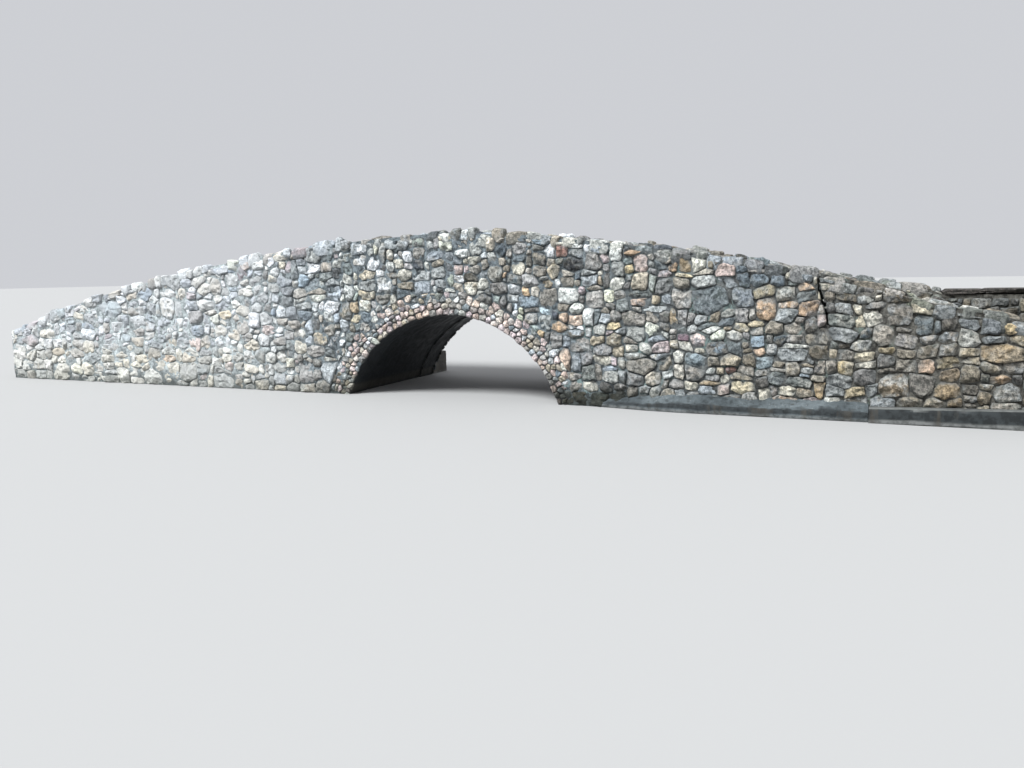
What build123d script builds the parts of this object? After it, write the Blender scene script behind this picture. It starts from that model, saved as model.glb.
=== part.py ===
from build123d import *
import math
import os

# Fieldstone footbridge: one segmental arch, rubble walls that rise into humped parapets,
# and a concrete path between them.
# X runs along the bridge, -Y is its front, Z is up, and Z = 0 is the foot of every wall.
# Millimetres. The origin is the centre of the footprint, under the crown of the arch.

# ---- driving dimensions ----
HALF_LENGTH = 8050.0        # wing walls end here, both ways
WIDTH = 2350.0              # face to face across both walls
WALL = 400.0                # wall and parapet thickness
CENTRE_Y = -150.0           # middle of the path
Y_FRONT = CENTRE_Y - WIDTH / 2      # front face
Y_BACK = CENTRE_Y + WIDTH / 2       # back face
Y_FRONT_IN = Y_FRONT + WALL
Y_BACK_IN = Y_BACK - WALL

ARCH_R = 1580.0             # radius of the opening
ARCH_ZC = -490.0            # its centre lies below the foot of the walls
RING_R = 1900.0             # outside of the cobble ring
BARREL_R = 1600.0           # the barrel is set back a little behind the ring
BARREL_OUT_R = 1780.0

WING_X = 3200.0             # where the left wings meet the middle walls
CRACK_X = 4600.0            # where the right wings start, at the open crack

COPING_H = 150.0
COPING_JOINT = 10.0         # open joints between the lengths of coping
SLAB_T = 120.0
SLAB_GAP = 10.0
SILL_T = 160.0

TOE_X0, TOE_X1 = 2000.0, 5000.0     # concrete toe at the foot of the front wall
TOE_OUT = 180.0
KERB_OUT = 220.0
KERB_T = 150.0
KERB_Z0, KERB_Z1 = 160.0, 235.0     # the kerb climbs to the right

CHANNEL_OUT = 520.0         # low concrete walls that run on from the arch behind
CHANNEL_X0, CHANNEL_T, CHANNEL_H = 1500.0, 200.0, 350.0

# Top of the coping bed, (X, Z). Rough stones stand a little above it.
CREST_LEFT = [(-8050, 750), (-7360, 960), (-6260, 1285), (-5330, 1475), (-4460, 1655), (-3200, 1845)]
CREST_MID = [(-3200, 1845), (-2210, 1970), (-1090, 2065), (0, 2125), (1030, 2065), (2170, 1935),
             (3100, 1800), (3860, 1655), (4440, 1570)]
CREST_MID_BACK = CREST_MID[:-1] + [(4480, 1560)]
CREST_RIGHT = [(4480, 1550), (5280, 1370), (5420, 1270), (6380, 1060), (7200, 890), (8050, 750)]
CREST_RIGHT_BACK = [(4480, 1560), (5070, 1420), (5620, 1350), (5800, 1270)]
CAP_Z = 1270.0              # underside of the flat capstones on the level stretch behind
CAP_T = 60.0
CAP_X0, CAP_X1, CAP_N, CAP_GAP = 5800.0, 8050.0, 4, 14.0

# The crack: right edge of the middle wall, then left edge of the right wing, from the top down.
CRACK_MID = [(4440, 1440), (4490, 1270), (4520, 1140), (4550, 1040), (4600, 790)]
CRACK_WING = [(4480, 1440), (4532, 1270), (4566, 1140), (4586, 1040), (4600, 790)]

# Top of the path, (X, Z).
PATH = [(-8050, 500), (-5000, 900), (-3400, 1145), (-2000, 1335), (-1000, 1425), (-400, 1455),
        (400, 1455), (1000, 1425), (2000, 1335), (3400, 1145), (5000, 900), (8050, 500)]
SLAB_JOINTS = [-8050.0, -5000.0, -1750.0, 1750.0, 5000.0, 8050.0]
SLAB_NAMES = ["left_end_path_slab", "left_path_slab", "crown_path_slab", "right_path_slab", "right_end_path_slab"]

os.makedirs("parts", exist_ok=True)


def prism(points, y0, y1):
    """A closed XZ outline pulled from y0 to y1."""
    wire = Wire.make_polygon([Vector(x, y0, z) for x, z in points], close=True)
    return Solid.extrude(Face(wire), Vector(0, y1 - y0, 0))


def cylinder(radius, y0, y1):
    """A round bar along Y on the arch's axis."""
    edge = Edge.make_circle(radius, Plane(origin=(0, y0, ARCH_ZC), x_dir=(1, 0, 0), z_dir=(0, 1, 0)))
    return Solid.extrude(Face(Wire([edge])), Vector(0, y1 - y0, 0))


def slab_of(x0, x1, y0, y1, z0, z1):
    return prism([(x0, z0), (x1, z0), (x1, z1), (x0, z1)], y0, y1)


def height(line, x):
    for (xa, za), (xb, zb) in zip(line, line[1:]):
        if xa <= x <= xb:
            return za + (zb - za) * (x - xa) / (xb - xa)
    raise ValueError(x)


def stretch(line, x0, x1, dz=0.0):
    """The part of a line between two stations, lifted by dz."""
    inner = [(x, z + dz) for x, z in line if x0 < x < x1]
    return [(x0, height(line, x0) + dz)] + inner + [(x1, height(line, x1) + dz)]


def down(line, dz):
    return [(x, z - dz) for x, z in line]


def save(shape, name):
    solids = shape.solids()
    out = solids[0] if len(solids) == 1 else Compound(children=list(solids))
    out.label = name
    export_step(out, "parts/%s.step" % name)


# ---- walls ----
def left_wing(y0, y1):
    return prism(down(CREST_LEFT, COPING_H) + [(-WING_X, 0), (-HALF_LENGTH, 0)], y0, y1)


def middle_wall(y0, y1, cracked):
    top = down(CREST_MID if cracked else CREST_MID_BACK, COPING_H)
    if cracked:
        edge = [(CRACK_MID[0][0], height(CREST_MID, CRACK_MID[0][0]) - COPING_H)] + CRACK_MID[1:] + [(CRACK_X, 0)]
        top = top[:-1]
    else:
        edge = [(4480, 0)]
    wall = prism(top + edge + [(-WING_X, 0)], y0, y1)
    return wall - cylinder(RING_R, y0 - 50, y1 + 50)


def right_wing_front(y0, y1):
    top = down(CREST_RIGHT, COPING_H)
    edge = list(reversed(CRACK_WING[1:]))
    return prism([(CRACK_X, 0)] + edge + top + [(HALF_LENGTH, 0)], y0, y1)


def right_wing_back(y0, y1):
    top = down(CREST_RIGHT_BACK, COPING_H)[:-1] + [(CAP_X0, CREST_RIGHT_BACK[-1][1] - COPING_H), (CAP_X0, CAP_Z), (HALF_LENGTH, CAP_Z)]
    return prism([(4480, 0)] + top + [(HALF_LENGTH, 0)], y0, y1)


def coping(line, y0, y1):
    """A run of coping laid in straight lengths, one to each bend of the wall top."""
    ends = [line[0][0]] + [x for x, z in line[1:-1] if line[-1][0] - x > 100] + [line[-1][0]]
    lengths = []
    for x0, x1 in zip(ends, ends[1:]):
        a = x0 if x0 == ends[0] else x0 + COPING_JOINT / 2
        b = x1 if x1 == ends[-1] else x1 - COPING_JOINT / 2
        top = stretch(line, a, b)
        lengths.append(prism(top + list(reversed(down(top, COPING_H))), y0, y1))
    return Compound(children=lengths)


save(left_wing(Y_FRONT, Y_FRONT_IN), "front_left_wing")
save(middle_wall(Y_FRONT, Y_FRONT_IN, True), "front_centre_wall")
save(right_wing_front(Y_FRONT, Y_FRONT_IN), "front_right_wing")
save(left_wing(Y_BACK_IN, Y_BACK), "back_left_wing")
save(middle_wall(Y_BACK_IN, Y_BACK, False), "back_centre_wall")
save(right_wing_back(Y_BACK_IN, Y_BACK), "back_right_wing")

save(coping(CREST_LEFT, Y_FRONT, Y_FRONT_IN), "front_left_coping")
save(coping(CREST_MID, Y_FRONT, Y_FRONT_IN), "front_centre_coping")
save(coping(CREST_RIGHT, Y_FRONT, Y_FRONT_IN), "front_right_coping")
save(coping(CREST_LEFT, Y_BACK_IN, Y_BACK), "back_left_coping")
save(coping(CREST_MID_BACK, Y_BACK_IN, Y_BACK), "back_centre_coping")
save(coping(CREST_RIGHT_BACK, Y_BACK_IN, Y_BACK), "back_right_coping")

caps = []
cap_len = (CAP_X1 - CAP_X0 - CAP_GAP * (CAP_N - 1)) / CAP_N
for i in range(CAP_N):
    x = CAP_X0 + i * (cap_len + CAP_GAP)
    caps.append(slab_of(x, x + cap_len, Y_BACK_IN - 20, Y_BACK + 20, CAP_Z, CAP_Z + CAP_T))
save(Compound(children=caps), "back_right_cap_slabs")


# ---- arch: cobble rings on both faces, concrete barrel between them ----
def arch_segment(r_in, r_out, y0, y1):
    ring = cylinder(r_out, y0, y1) - cylinder(r_in, y0 - 50, y1 + 50)
    return ring & slab_of(-3000, 3000, y0 - 10, y1 + 10, 0, 3000)


save(arch_segment(ARCH_R, RING_R, Y_FRONT, Y_FRONT_IN), "front_arch_ring")
save(arch_segment(ARCH_R, RING_R, Y_BACK_IN, Y_BACK), "back_arch_ring")
barrel = arch_segment(BARREL_R, BARREL_OUT_R, Y_FRONT_IN, Y_BACK_IN)
save(barrel & slab_of(-3000, 0, Y_FRONT_IN - 10, Y_BACK_IN + 10, -10, 3000), "arch_barrel_left")
save(barrel & slab_of(0, 3000, Y_FRONT_IN - 10, Y_BACK_IN + 10, -10, 3000), "arch_barrel_right")

# ---- path and what carries it ----
for name, x0, x1 in zip(SLAB_NAMES, SLAB_JOINTS, SLAB_JOINTS[1:]):
    a = x0 if x0 == -HALF_LENGTH else x0 + SLAB_GAP / 2
    b = x1 if x1 == HALF_LENGTH else x1 - SLAB_GAP / 2
    top = stretch(PATH, a, b)
    save(prism(top + list(reversed(down(top, SLAB_T))), Y_FRONT_IN, Y_BACK_IN), name)


def fill(x0, x1):
    top = stretch(PATH, x0, x1, -SLAB_T)
    block = prism(top + [(x1, 0), (x0, 0)], Y_FRONT_IN, Y_BACK_IN)
    return block - cylinder(BARREL_OUT_R, Y_FRONT_IN - 50, Y_BACK_IN + 50)


save(fill(-HALF_LENGTH + SILL_T, 0), "left_fill")
save(fill(0, HALF_LENGTH - SILL_T), "right_fill")
for name, x0, x1 in (("left_end_sill", -HALF_LENGTH, -HALF_LENGTH + SILL_T), ("right_end_sill", HALF_LENGTH - SILL_T, HALF_LENGTH)):
    top = stretch(PATH, x0, x1, -SLAB_T)
    save(prism(top + [(x1, 0), (x0, 0)], Y_FRONT_IN, Y_BACK_IN), name)

# ---- concrete toe and kerb along the foot of the front wall, to the right of the arch ----
toe_section = [(0, 0), (-TOE_OUT, 0), (-TOE_OUT + 10, 110), (-70, 180), (0, 200)]
toe_face = Face(Wire.make_polygon([Vector(TOE_X0, Y_FRONT + y, z) for y, z in toe_section], close=True))
toe = Solid.extrude(toe_face, Vector(TOE_X1 - TOE_X0, 0, 0))
# its left end runs down and in towards the arch
wedge_plan = Wire.make_polygon([Vector(TOE_X0 - 10, Y_FRONT - TOE_OUT - 10, -10), Vector(TOE_X0 + 760, Y_FRONT - TOE_OUT - 10, -10),
                                Vector(TOE_X0 - 10, Y_FRONT - 30, -10)], close=True)
toe = toe - Solid.extrude(Face(wedge_plan), Vector(0, 0, 400))
wedge_side = Wire.make_polygon([Vector(TOE_X0 - 10, Y_FRONT - 300, 60), Vector(TOE_X0 + 700, Y_FRONT - 300, 260),
                                Vector(TOE_X0 - 10, Y_FRONT - 300, 260)], close=True)
toe = toe - Solid.extrude(Face(wedge_side), Vector(0, 400, 0))
save(toe, "front_concrete_toe")


def kerb_wire(x, z):
    pts = [(-KERB_OUT, 0.0), (-KERB_OUT, z - 12), (-KERB_OUT + 12, z), (-KERB_OUT + KERB_T, z),
           (-KERB_OUT + KERB_T, z - 30), (0.0, z - 30), (0.0, 0.0)]
    return Wire.make_polygon([Vector(x, Y_FRONT + y, zz) for y, zz in pts], close=True)


save(Solid.make_loft([kerb_wire(TOE_X1, KERB_Z0), kerb_wire(HALF_LENGTH, KERB_Z1)], ruled=True), "front_kerb")

# ---- low walls that run on from the arch behind ----
for name, sign in (("back_left_channel_wall", -1), ("back_right_channel_wall", 1)):
    xs = sorted((sign * CHANNEL_X0, sign * (CHANNEL_X0 + CHANNEL_T)))
    save(slab_of(xs[0], xs[1], Y_BACK, Y_BACK + CHANNEL_OUT, 0, CHANNEL_H), name)
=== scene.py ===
import bpy, math, random
import numpy as np
from mathutils import Matrix, Vector


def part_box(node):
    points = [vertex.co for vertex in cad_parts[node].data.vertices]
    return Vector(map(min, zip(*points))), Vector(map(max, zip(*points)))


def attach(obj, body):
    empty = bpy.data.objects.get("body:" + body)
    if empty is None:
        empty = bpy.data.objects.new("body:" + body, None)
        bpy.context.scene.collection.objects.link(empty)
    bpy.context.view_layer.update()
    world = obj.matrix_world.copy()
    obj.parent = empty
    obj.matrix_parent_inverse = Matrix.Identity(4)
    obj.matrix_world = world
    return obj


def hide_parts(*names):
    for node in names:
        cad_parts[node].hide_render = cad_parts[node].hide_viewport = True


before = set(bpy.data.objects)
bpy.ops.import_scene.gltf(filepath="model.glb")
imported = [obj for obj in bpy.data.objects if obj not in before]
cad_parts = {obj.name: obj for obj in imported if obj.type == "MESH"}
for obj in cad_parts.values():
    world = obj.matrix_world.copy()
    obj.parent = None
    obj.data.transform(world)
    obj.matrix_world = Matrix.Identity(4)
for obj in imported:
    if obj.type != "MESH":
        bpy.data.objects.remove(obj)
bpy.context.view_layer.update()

# ------------------------------------------------------------------ the bridge's own lines, in metres
Y_FRONT, Y_BACK = -1.325, 1.025          # outer faces of the two walls
Y_FRONT_IN, Y_BACK_IN = -0.925, 0.625    # their faces on the path side
END = 8.05
ARCH_ZC, ARCH_R, RING_R = -0.49, 1.58, 1.90

CREST_FRONT = [(-8.05, .75), (-7.36, .96), (-6.26, 1.285), (-5.33, 1.475), (-4.46, 1.655), (-3.2, 1.845), (-2.21, 1.97),
               (-1.09, 2.065), (0, 2.125), (1.03, 2.065), (2.17, 1.935), (3.1, 1.8), (3.86, 1.655), (4.44, 1.57), (4.48, 1.55),
               (5.28, 1.37), (5.42, 1.27), (6.38, 1.06), (7.2, .89), (8.05, .75)]
CREST_BACK = [p for p in CREST_FRONT if p[0] < 4.47] + [(4.48, 1.56), (5.07, 1.42), (5.62, 1.35), (5.8, 1.27), (8.05, 1.27)]
PATH = [(-8.05, .5), (-5, .9), (-3.4, 1.145), (-2, 1.335), (-1, 1.425), (-.4, 1.455), (.4, 1.455), (1, 1.425), (2, 1.335),
        (3.4, 1.145), (5, .9), (8.05, .5)]
CRACK = [(4.46, 1.75), (4.46, 1.44), (4.51, 1.27), (4.545, 1.14), (4.57, 1.04), (4.60, .79)]


def on_line(line, x):
    xs = [p[0] for p in line]
    return np.interp(x, xs, [p[1] for p in line])


def slope_of(line, x):
    return (on_line(line, x + .05) - on_line(line, x - .05)) / .1


def lin(r, g, b):
    """An sRGB colour, 0 to 255, as the shaders want it."""
    return np.array([((c / 255 + .055) / 1.055) ** 2.4 if c > 10 else c / 255 / 12.92 for c in (r, g, b)])


# ------------------------------------------------------------------ noise
def hash3(i, j, k, seed):
    n = (i.astype(np.int64) * 374761393 + j.astype(np.int64) * 668265263 + k.astype(np.int64) * 2147483647 + seed * 1274126177) & 0xffffffff
    n = ((n ^ (n >> 13)) * 1274126177) & 0xffffffff
    n = ((n ^ (n >> 16)) * 2246822519) & 0xffffffff
    return ((n ^ (n >> 15)) & 0xffffff) / float(0xffffff) * 2 - 1


def noise3(p, scale=1.0, seed=0):
    """Smooth value noise, -1 to 1, at the rows of p."""
    q = np.asarray(p, float) * scale
    i = np.floor(q)
    f = q - i
    f = f * f * (3 - 2 * f)
    out = 0
    for dx in (0, 1):
        for dy in (0, 1):
            for dz in (0, 1):
                w = (f[:, 0] if dx else 1 - f[:, 0]) * (f[:, 1] if dy else 1 - f[:, 1]) * (f[:, 2] if dz else 1 - f[:, 2])
                out = out + w * hash3(i[:, 0] + dx, i[:, 1] + dy, i[:, 2] + dz, seed)
    return out


def noise1(x, seed=0):
    return float(noise3(np.array([[x, 7.3, 1.7]]), 1.0, seed)[0])


# ------------------------------------------------------------------ flat shapes
def clip(poly, nx, ny, d):
    """The part of a convex polygon where nx*x + ny*y <= d."""
    out = []
    n = len(poly)
    for i in range(n):
        ax, ay = poly[i]
        bx, by = poly[(i + 1) % n]
        sa, sb = nx * ax + ny * ay - d, nx * bx + ny * by - d
        if sa <= 0:
            out.append((ax, ay))
        if (sa < 0 < sb) or (sb < 0 < sa):
            t = sa / (sa - sb)
            out.append((ax + (bx - ax) * t, ay + (by - ay) * t))
    return out


def area_of(poly):
    return sum(poly[i][0] * poly[(i + 1) % len(poly)][1] - poly[(i + 1) % len(poly)][0] * poly[i][1] for i in range(len(poly))) / 2


def centre_of(poly):
    a = cx = cy = 0.0
    for i in range(len(poly)):
        x0, y0 = poly[i]
        x1, y1 = poly[(i + 1) % len(poly)]
        c = x0 * y1 - x1 * y0
        a += c
        cx += (x0 + x1) * c
        cy += (y0 + y1) * c
    return cx / (3 * a), cy / (3 * a)


# ------------------------------------------------------------------ laying stones over a face
def pack(a0, a1, top, sizes, rng, pitch=.025, fixed=(), stop=None, taken=None):
    """Fills a face with rectangles of uneven sizes, laid from the foot up. sizes(a) gives the mean width and height of a stone,
    in pitches, and how strongly stones keep to courses. fixed rectangles are laid first. taken marks cells outside the face.
    Returns [(x0, x1, z0, z1, number in fixed or None)]."""
    nx, nz = int(round((a1 - a0) / pitch)), int(math.ceil(top / pitch))
    taken = np.zeros((nz, nx), bool) if taken is None else taken.copy()
    crown = np.zeros(nx, int)
    out = []
    for n, (x0, x1, z0, z1) in enumerate(fixed):
        i0, i1 = max(0, int(round((x0 - a0) / pitch))), min(nx, int(round((x1 - a0) / pitch)))
        j0, j1 = max(0, int(round(z0 / pitch))), min(nz, int(round(z1 / pitch)))
        taken[j0:j1, i0:i1] = True
        out.append((x0, x1, z0, z1, n))
    for j in range(nz):
        i = 0
        while i < nx:
            if taken[j, i]:
                i += 1
                continue
            a, b = a0 + i * pitch, j * pitch
            wm, hm, course = sizes(a, b)
            run = 1
            while i + run < nx and not taken[j, i + run] and run < 44 and not (stop and stop(a0 + (i + run) * pitch, b, pitch)):
                run += 1
            if run < 3:
                i += run
                continue
            roll = rng.random()
            if roll < .12:
                w, h = wm * rng.uniform(1.35, 1.75), hm * rng.uniform(1.2, 1.5)
            elif roll < .62:
                w, h = wm * rng.uniform(.85, 1.3), hm * rng.uniform(.75, 1.15)
            elif roll < .74:
                w, h = wm * rng.uniform(1.1, 1.6), hm * rng.uniform(.5, .7)
            elif roll < .84:
                w, h = wm * rng.uniform(.55, .75), hm * rng.uniform(1.0, 1.35)
            else:
                w, h = wm * rng.uniform(.45, .7), hm * rng.uniform(.5, .75)
            w, h = max(3, int(round(w))), max(3, int(round(h)))
            if h > 4:
                h += h % 2
            least = max(3, int(wm * .5))
            if run - w < least:
                w = run if run <= wm * 1.55 else run - least
            w = min(w, run)
            if w <= 3:
                h = min(h, rng.choice((3, 4, 5)))
            if i > 0 and rng.random() < course and 3 <= crown[i - 1] - j <= hm * 1.5:
                h = int(crown[i - 1] - j)
            k = 1
            while k < h and j + k < nz and not taken[j + k, i:i + w].any():
                k += 1
            if k == h:      # don't leave a slot too thin for a stone under something fixed
                for extra in (1, 2):
                    if j + h + extra < nz and taken[j + h + extra, i:i + w].any() and not taken[j + h:j + h + extra, i:i + w].any():
                        k = h + extra
                        break
            h = k
            taken[j:j + h, i:i + w] = True
            crown[i:i + w] = j + h
            if h > 1:
                out.append((a, a + w * pitch, b, b + h * pitch, None))
            i += w
    return out


def settle(rects, rng, joint=(.003, .014), grow=.055, squared=.3, random_work=lambda x: .3):
    """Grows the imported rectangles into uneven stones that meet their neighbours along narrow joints."""
    r = np.array([q[:4] for q in rects])
    cx, cz = (r[:, 0] + r[:, 1]) / 2, (r[:, 2] + r[:, 3]) / 2
    ha, hb = (r[:, 1] - r[:, 0]) / 2, (r[:, 3] - r[:, 2]) / 2
    cuts = [[] for _ in rects]
    for i in range(len(rects)):
        dx, dz = cx - cx[i], cz - cz[i]
        gx, gz = np.abs(dx) - ha - ha[i], np.abs(dz) - hb - hb[i]
        for j in np.nonzero((gx < 2 * grow) & (gz < 2 * grow))[0]:
            if j <= i:
                continue
            sx, sz = (1 if dx[j] > 0 else -1), (1 if dz[j] > 0 else -1)
            ex, ez = cx[i] + sx * ha[i], cz[i] + sz * hb[i]          # this stone's side or corner
            fx, fz = cx[j] - sx * ha[j], cz[j] - sz * hb[j]          # the one that faces it
            if gx[j] > -.02 and gz[j] > -.02:
                t = math.atan2(sz, sx) + rng.uniform(-.35, .35)
                px, pz = (ex + fx) / 2, (ez + fz) / 2
            elif gx[j] > gz[j]:
                t = (0 if sx > 0 else math.pi) + rng.gauss(0, .14)
                px = (ex + fx) / 2
                pz = (max(cz[i] - hb[i], cz[j] - hb[j]) + min(cz[i] + hb[i], cz[j] + hb[j])) / 2
            else:
                t = (math.pi / 2 if sz > 0 else -math.pi / 2) + rng.gauss(0, .14)
                pz = (ez + fz) / 2
                px = (max(cx[i] - ha[i], cx[j] - ha[j]) + min(cx[i] + ha[i], cx[j] + ha[j])) / 2
            k = random_work(cx[i])
            if k > 0:
                t += k * ((math.atan2(dz[j], dx[j]) - t + math.pi) % (2 * math.pi) - math.pi)
            nx, nz = math.cos(t), math.sin(t)
            d = nx * px + nz * pz
            w = rng.uniform(*joint) / 2
            cuts[i].append((nx, nz, d - w))
            cuts[j].append((-nx, -nz, -d - w))
    out = []
    for i, q in enumerate(rects):
        g = grow if q[4] is None else .03
        a, b = ha[i] + g * rng.uniform(.5, 1), hb[i] + g * rng.uniform(.5, 1)
        poly = [(cx[i] - a, cz[i] - b), (cx[i] + a, cz[i] - b), (cx[i] + a, cz[i] + b), (cx[i] - a, cz[i] + b)]
        for nx, nz, d in cuts[i]:
            if poly:
                poly = clip(poly, nx, nz, d)
        if len(poly) < 3 or area_of(poly) < 6e-4:
            continue
        # knock its corners off: more on a rounded stone than on a squared one
        lo_x, hi_x = min(v[0] for v in poly), max(v[0] for v in poly)
        lo_z, hi_z = min(v[1] for v in poly), max(v[1] for v in poly)
        mx, mz, wa, wb = (lo_x + hi_x) / 2, (lo_z + hi_z) / 2, (hi_x - lo_x) / 2, (hi_z - lo_z) / 2
        square = rng.random() < squared
        n = rng.choice((4, 5, 6)) if square else rng.choice((6, 7, 8, 9))
        t0 = rng.uniform(0, 2 * math.pi)
        for k in range(n):
            t = t0 + 2 * math.pi * (k + rng.uniform(-.4, .4)) / n
            ct, st = math.cos(t), math.sin(t)
            full = wa * abs(ct) + wb * abs(st)                       # to the box's corner
            oval = math.hypot(wa * ct, wb * st)                      # to the oval inside it
            f = rng.uniform(.35, 1.0) if square else rng.uniform(-.12, .70)
            if full > oval * 1.02:
                poly = clip(poly, ct, st, ct * mx + st * mz + oval + (full - oval) * f)
            if len(poly) < 3:
                break
        if len(poly) >= 3 and area_of(poly) > 6e-4:
            out.append((poly, q[4]))
    return out


def sway(pts, seed=0, amp=1.0):
    """The slow wander of the joints, the same for every stone on a face."""
    q = np.column_stack([np.array(pts), np.full(len(pts), seed * 7.7)])
    dx = noise3(q, 3.1, 101) * .030 + noise3(q, 8.0, 102) * .016
    dz = noise3(q, 3.1, 103) * .034 + noise3(q, 8.0, 104) * .016
    return [(x + a * amp, z + b * amp) for (x, z), a, b in zip(pts, dx, dz)]


# ------------------------------------------------------------------ gathering meshes
class Bag:
    def __init__(self):
        self.v, self.q, self.t, self.col, self.col2, self.at = [], [], [], [], [], []
        self.n = 0

    def add(self, v, quads, tris, col, at, col2=None):
        """at: height on the stone 0 to 1, a random number of the stone, how weathered it is."""
        self.v.append(v)
        if len(quads):
            self.q.append(np.asarray(quads) + self.n)
        if len(tris):
            self.t.append(np.asarray(tris) + self.n)
        self.col.append(np.tile(np.append(col, 1.0), (len(v), 1)))
        self.col2.append(np.tile(np.append(col if col2 is None else col2, 1.0), (len(v), 1)))
        self.at.append(at)
        self.n += len(v)

    def tris(self):
        return sum(len(a) for a in self.q) * 2 + sum(len(a) for a in self.t)

    def build(self, name, mat, slot, sharp=16):
        me = bpy.data.meshes.new(name)
        v = np.concatenate(self.v).astype(np.float32)
        v[:, 2] = np.maximum(v[:, 2], .001)                      # nothing under the foot of the walls
        q = np.concatenate(self.q) if self.q else np.zeros((0, 4), int)
        t = np.concatenate(self.t) if self.t else np.zeros((0, 3), int)
        me.vertices.add(len(v))
        me.vertices.foreach_set("co", v.ravel())
        loops = np.concatenate([q.ravel(), t.ravel()]).astype(np.int32)
        me.loops.add(len(loops))
        me.loops.foreach_set("vertex_index", loops)
        starts = np.concatenate([np.arange(len(q)) * 4, len(q) * 4 + np.arange(len(t)) * 3]).astype(np.int32)
        me.polygons.add(len(starts))
        me.polygons.foreach_set("loop_start", starts)
        me.update(calc_edges=True)
        me.validate()
        me.polygons.foreach_set("use_smooth", np.ones(len(me.polygons), bool))
        if sharp:
            me.set_sharp_from_angle(angle=math.radians(sharp))
        for key, cols in (("tint", self.col), ("stain", self.col2)):
            ca = me.color_attributes.new(key, "FLOAT_COLOR", "POINT")
            ca.data.foreach_set("color", np.concatenate(cols).astype(np.float32).ravel())
        at = np.concatenate(self.at).astype(np.float32)
        for i, key in enumerate(("rise", "lot", "wear")):
            a = me.attributes.new(key, "FLOAT", "POINT")
            a.data.foreach_set("value", np.ascontiguousarray(at[:, i]))
        me.materials.append(mat)
        ob = bpy.data.objects.new(name, me)
        bpy.context.scene.collection.objects.link(ob)
        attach(ob, "root")
        return ob


def rounded(poly, cut, step):
    """Corners cut by at most that distance, and long edges divided."""
    p = np.array(poly)
    nxt = np.roll(p, -1, axis=0)
    ln = np.maximum(np.hypot(*(nxt - p).T), 1e-6)[:, None]
    r = np.minimum(.28, cut / ln)
    p = np.stack([p + (nxt - p) * r, p + (nxt - p) * (1 - r)], 1).reshape(-1, 2)
    keep = np.hypot(*(np.roll(p, -1, axis=0) - p).T) > .004
    p = p[keep]
    out = []
    for a, b in zip(p, np.roll(p, -1, axis=0)):
        k = max(1, int(round(math.hypot(*(b - a)) / step)))
        for i in range(k):
            out.append(a + (b - a) * i / k)
    return np.array(out)


RINGS = ((1.0, -.020, 0), (1.0, .50, 1), (.97, .78, 1), (.89, .94, 1), (.72, 1.0, 1), (.48, 1.0, 1), (.22, 1.0, 1))
RINGS_LIGHT = ((1.0, -.020, 0), (1.0, .50, 1), (.93, .82, 1), (.72, .98, 1), (.38, 1.0, 1))
RINGS_PLAIN = ((1.0, -.020, 0), (1.0, .52, 1), (.90, .88, 1), (.55, 1.0, 1))


def face_stone(bag, poly, place, high, col, rng, wear=0.0, cut=.012, rough=1.0, light=False, tilt=.22, col2=None):
    """One stone bedded in a wall. place(a, b, n) puts a point of the face's plane, n metres in front of it, into the frame."""
    p = rounded(poly, cut, .044 if light == "plain" else .040 if light else .027)
    n = len(p)
    cx, cy = centre_of(poly)
    c = np.array([cx, cy])
    rad = math.sqrt(abs(area_of(poly)) / math.pi)
    seed = rng.randrange(1 << 20)
    # chips and lumps along the outline
    d = p - c
    q3 = np.column_stack([p, np.full(n, seed * .013)])
    w = noise3(q3, 13.0, 11) * .17 + noise3(q3, 36.0, 12) * .14
    p = c + d * (1 + np.clip(w * rough * min(1.0, .075 / max(rad, .02)), -.26, .13))[:, None]
    d = p - c
    rings = RINGS_PLAIN if light == "plain" else RINGS_LIGHT if light else RINGS
    sc = np.repeat([r[0] for r in rings], n)
    up = np.repeat([r[1] for r in rings], n)
    face = np.repeat([r[2] for r in rings], n) > 0
    e = np.tile(d, (len(rings), 1)) * sc[:, None]
    # the broken faces: each falls away from part of the stone to its edge
    top = high * 1.02 + e @ np.array([rng.uniform(-tilt, tilt), rng.uniform(-tilt, tilt)]) * min(1.0, high / .05)
    k = rng.choice((4, 5, 6, 7))
    t0 = rng.uniform(0, 2 * math.pi)
    for i in range(k):
        t = t0 + 2 * math.pi * (i + rng.uniform(-.4, .4)) / k
        u = np.array([math.cos(t), math.sin(t)])
        reach = float(np.max(d @ u))
        off = rng.uniform(-.1, .82)
        drop = high * rng.uniform(.12, .85)
        top = np.minimum(top, high * rng.uniform(.92, 1.12) - drop / (reach * (1 - off)) * (e @ u - off * reach))
    hgt = np.maximum(top, high * .14) * np.maximum(up, 0)
    lump = min(1.0, rad / .08) * rough
    q3 = np.column_stack([e + c, np.full(len(e), seed * .017)])
    hgt = hgt + (noise3(q3, 10.0, 21) * .015 + noise3(q3, 26.0, 22) * .017) * lump * np.clip(up, 0, 1)
    hgt = np.maximum(hgt, high * .10)
    hgt = np.where(face, hgt, up)
    v = np.column_stack([e + c, hgt])
    v = np.vstack([v, [cx, cy, float(np.mean(hgt[-n:]))]])
    rise = np.append(np.where(face, np.clip(.35 * up + .65 * hgt / (high * .95), 0, 1), 0), 1.0)
    k = len(rings)
    i = np.arange(n)
    j = (i + 1) % n
    quads = np.concatenate([np.stack([r * n + i, r * n + j, (r + 1) * n + j, (r + 1) * n + i], 1) for r in range(k - 1)])
    tris = np.stack([(k - 1) * n + i, (k - 1) * n + j, np.full(n, k * n)], 1)
    back = np.stack([np.zeros(n - 2, int), i[2:], i[1:-1]], 1)
    at = np.column_stack([rise, np.full(len(v), rng.random()), np.full(len(v), wear)])
    bag.add(place(v[:, 0], v[:, 1], v[:, 2]), quads, np.vstack([tris, back]), col, at, col2)


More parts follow.
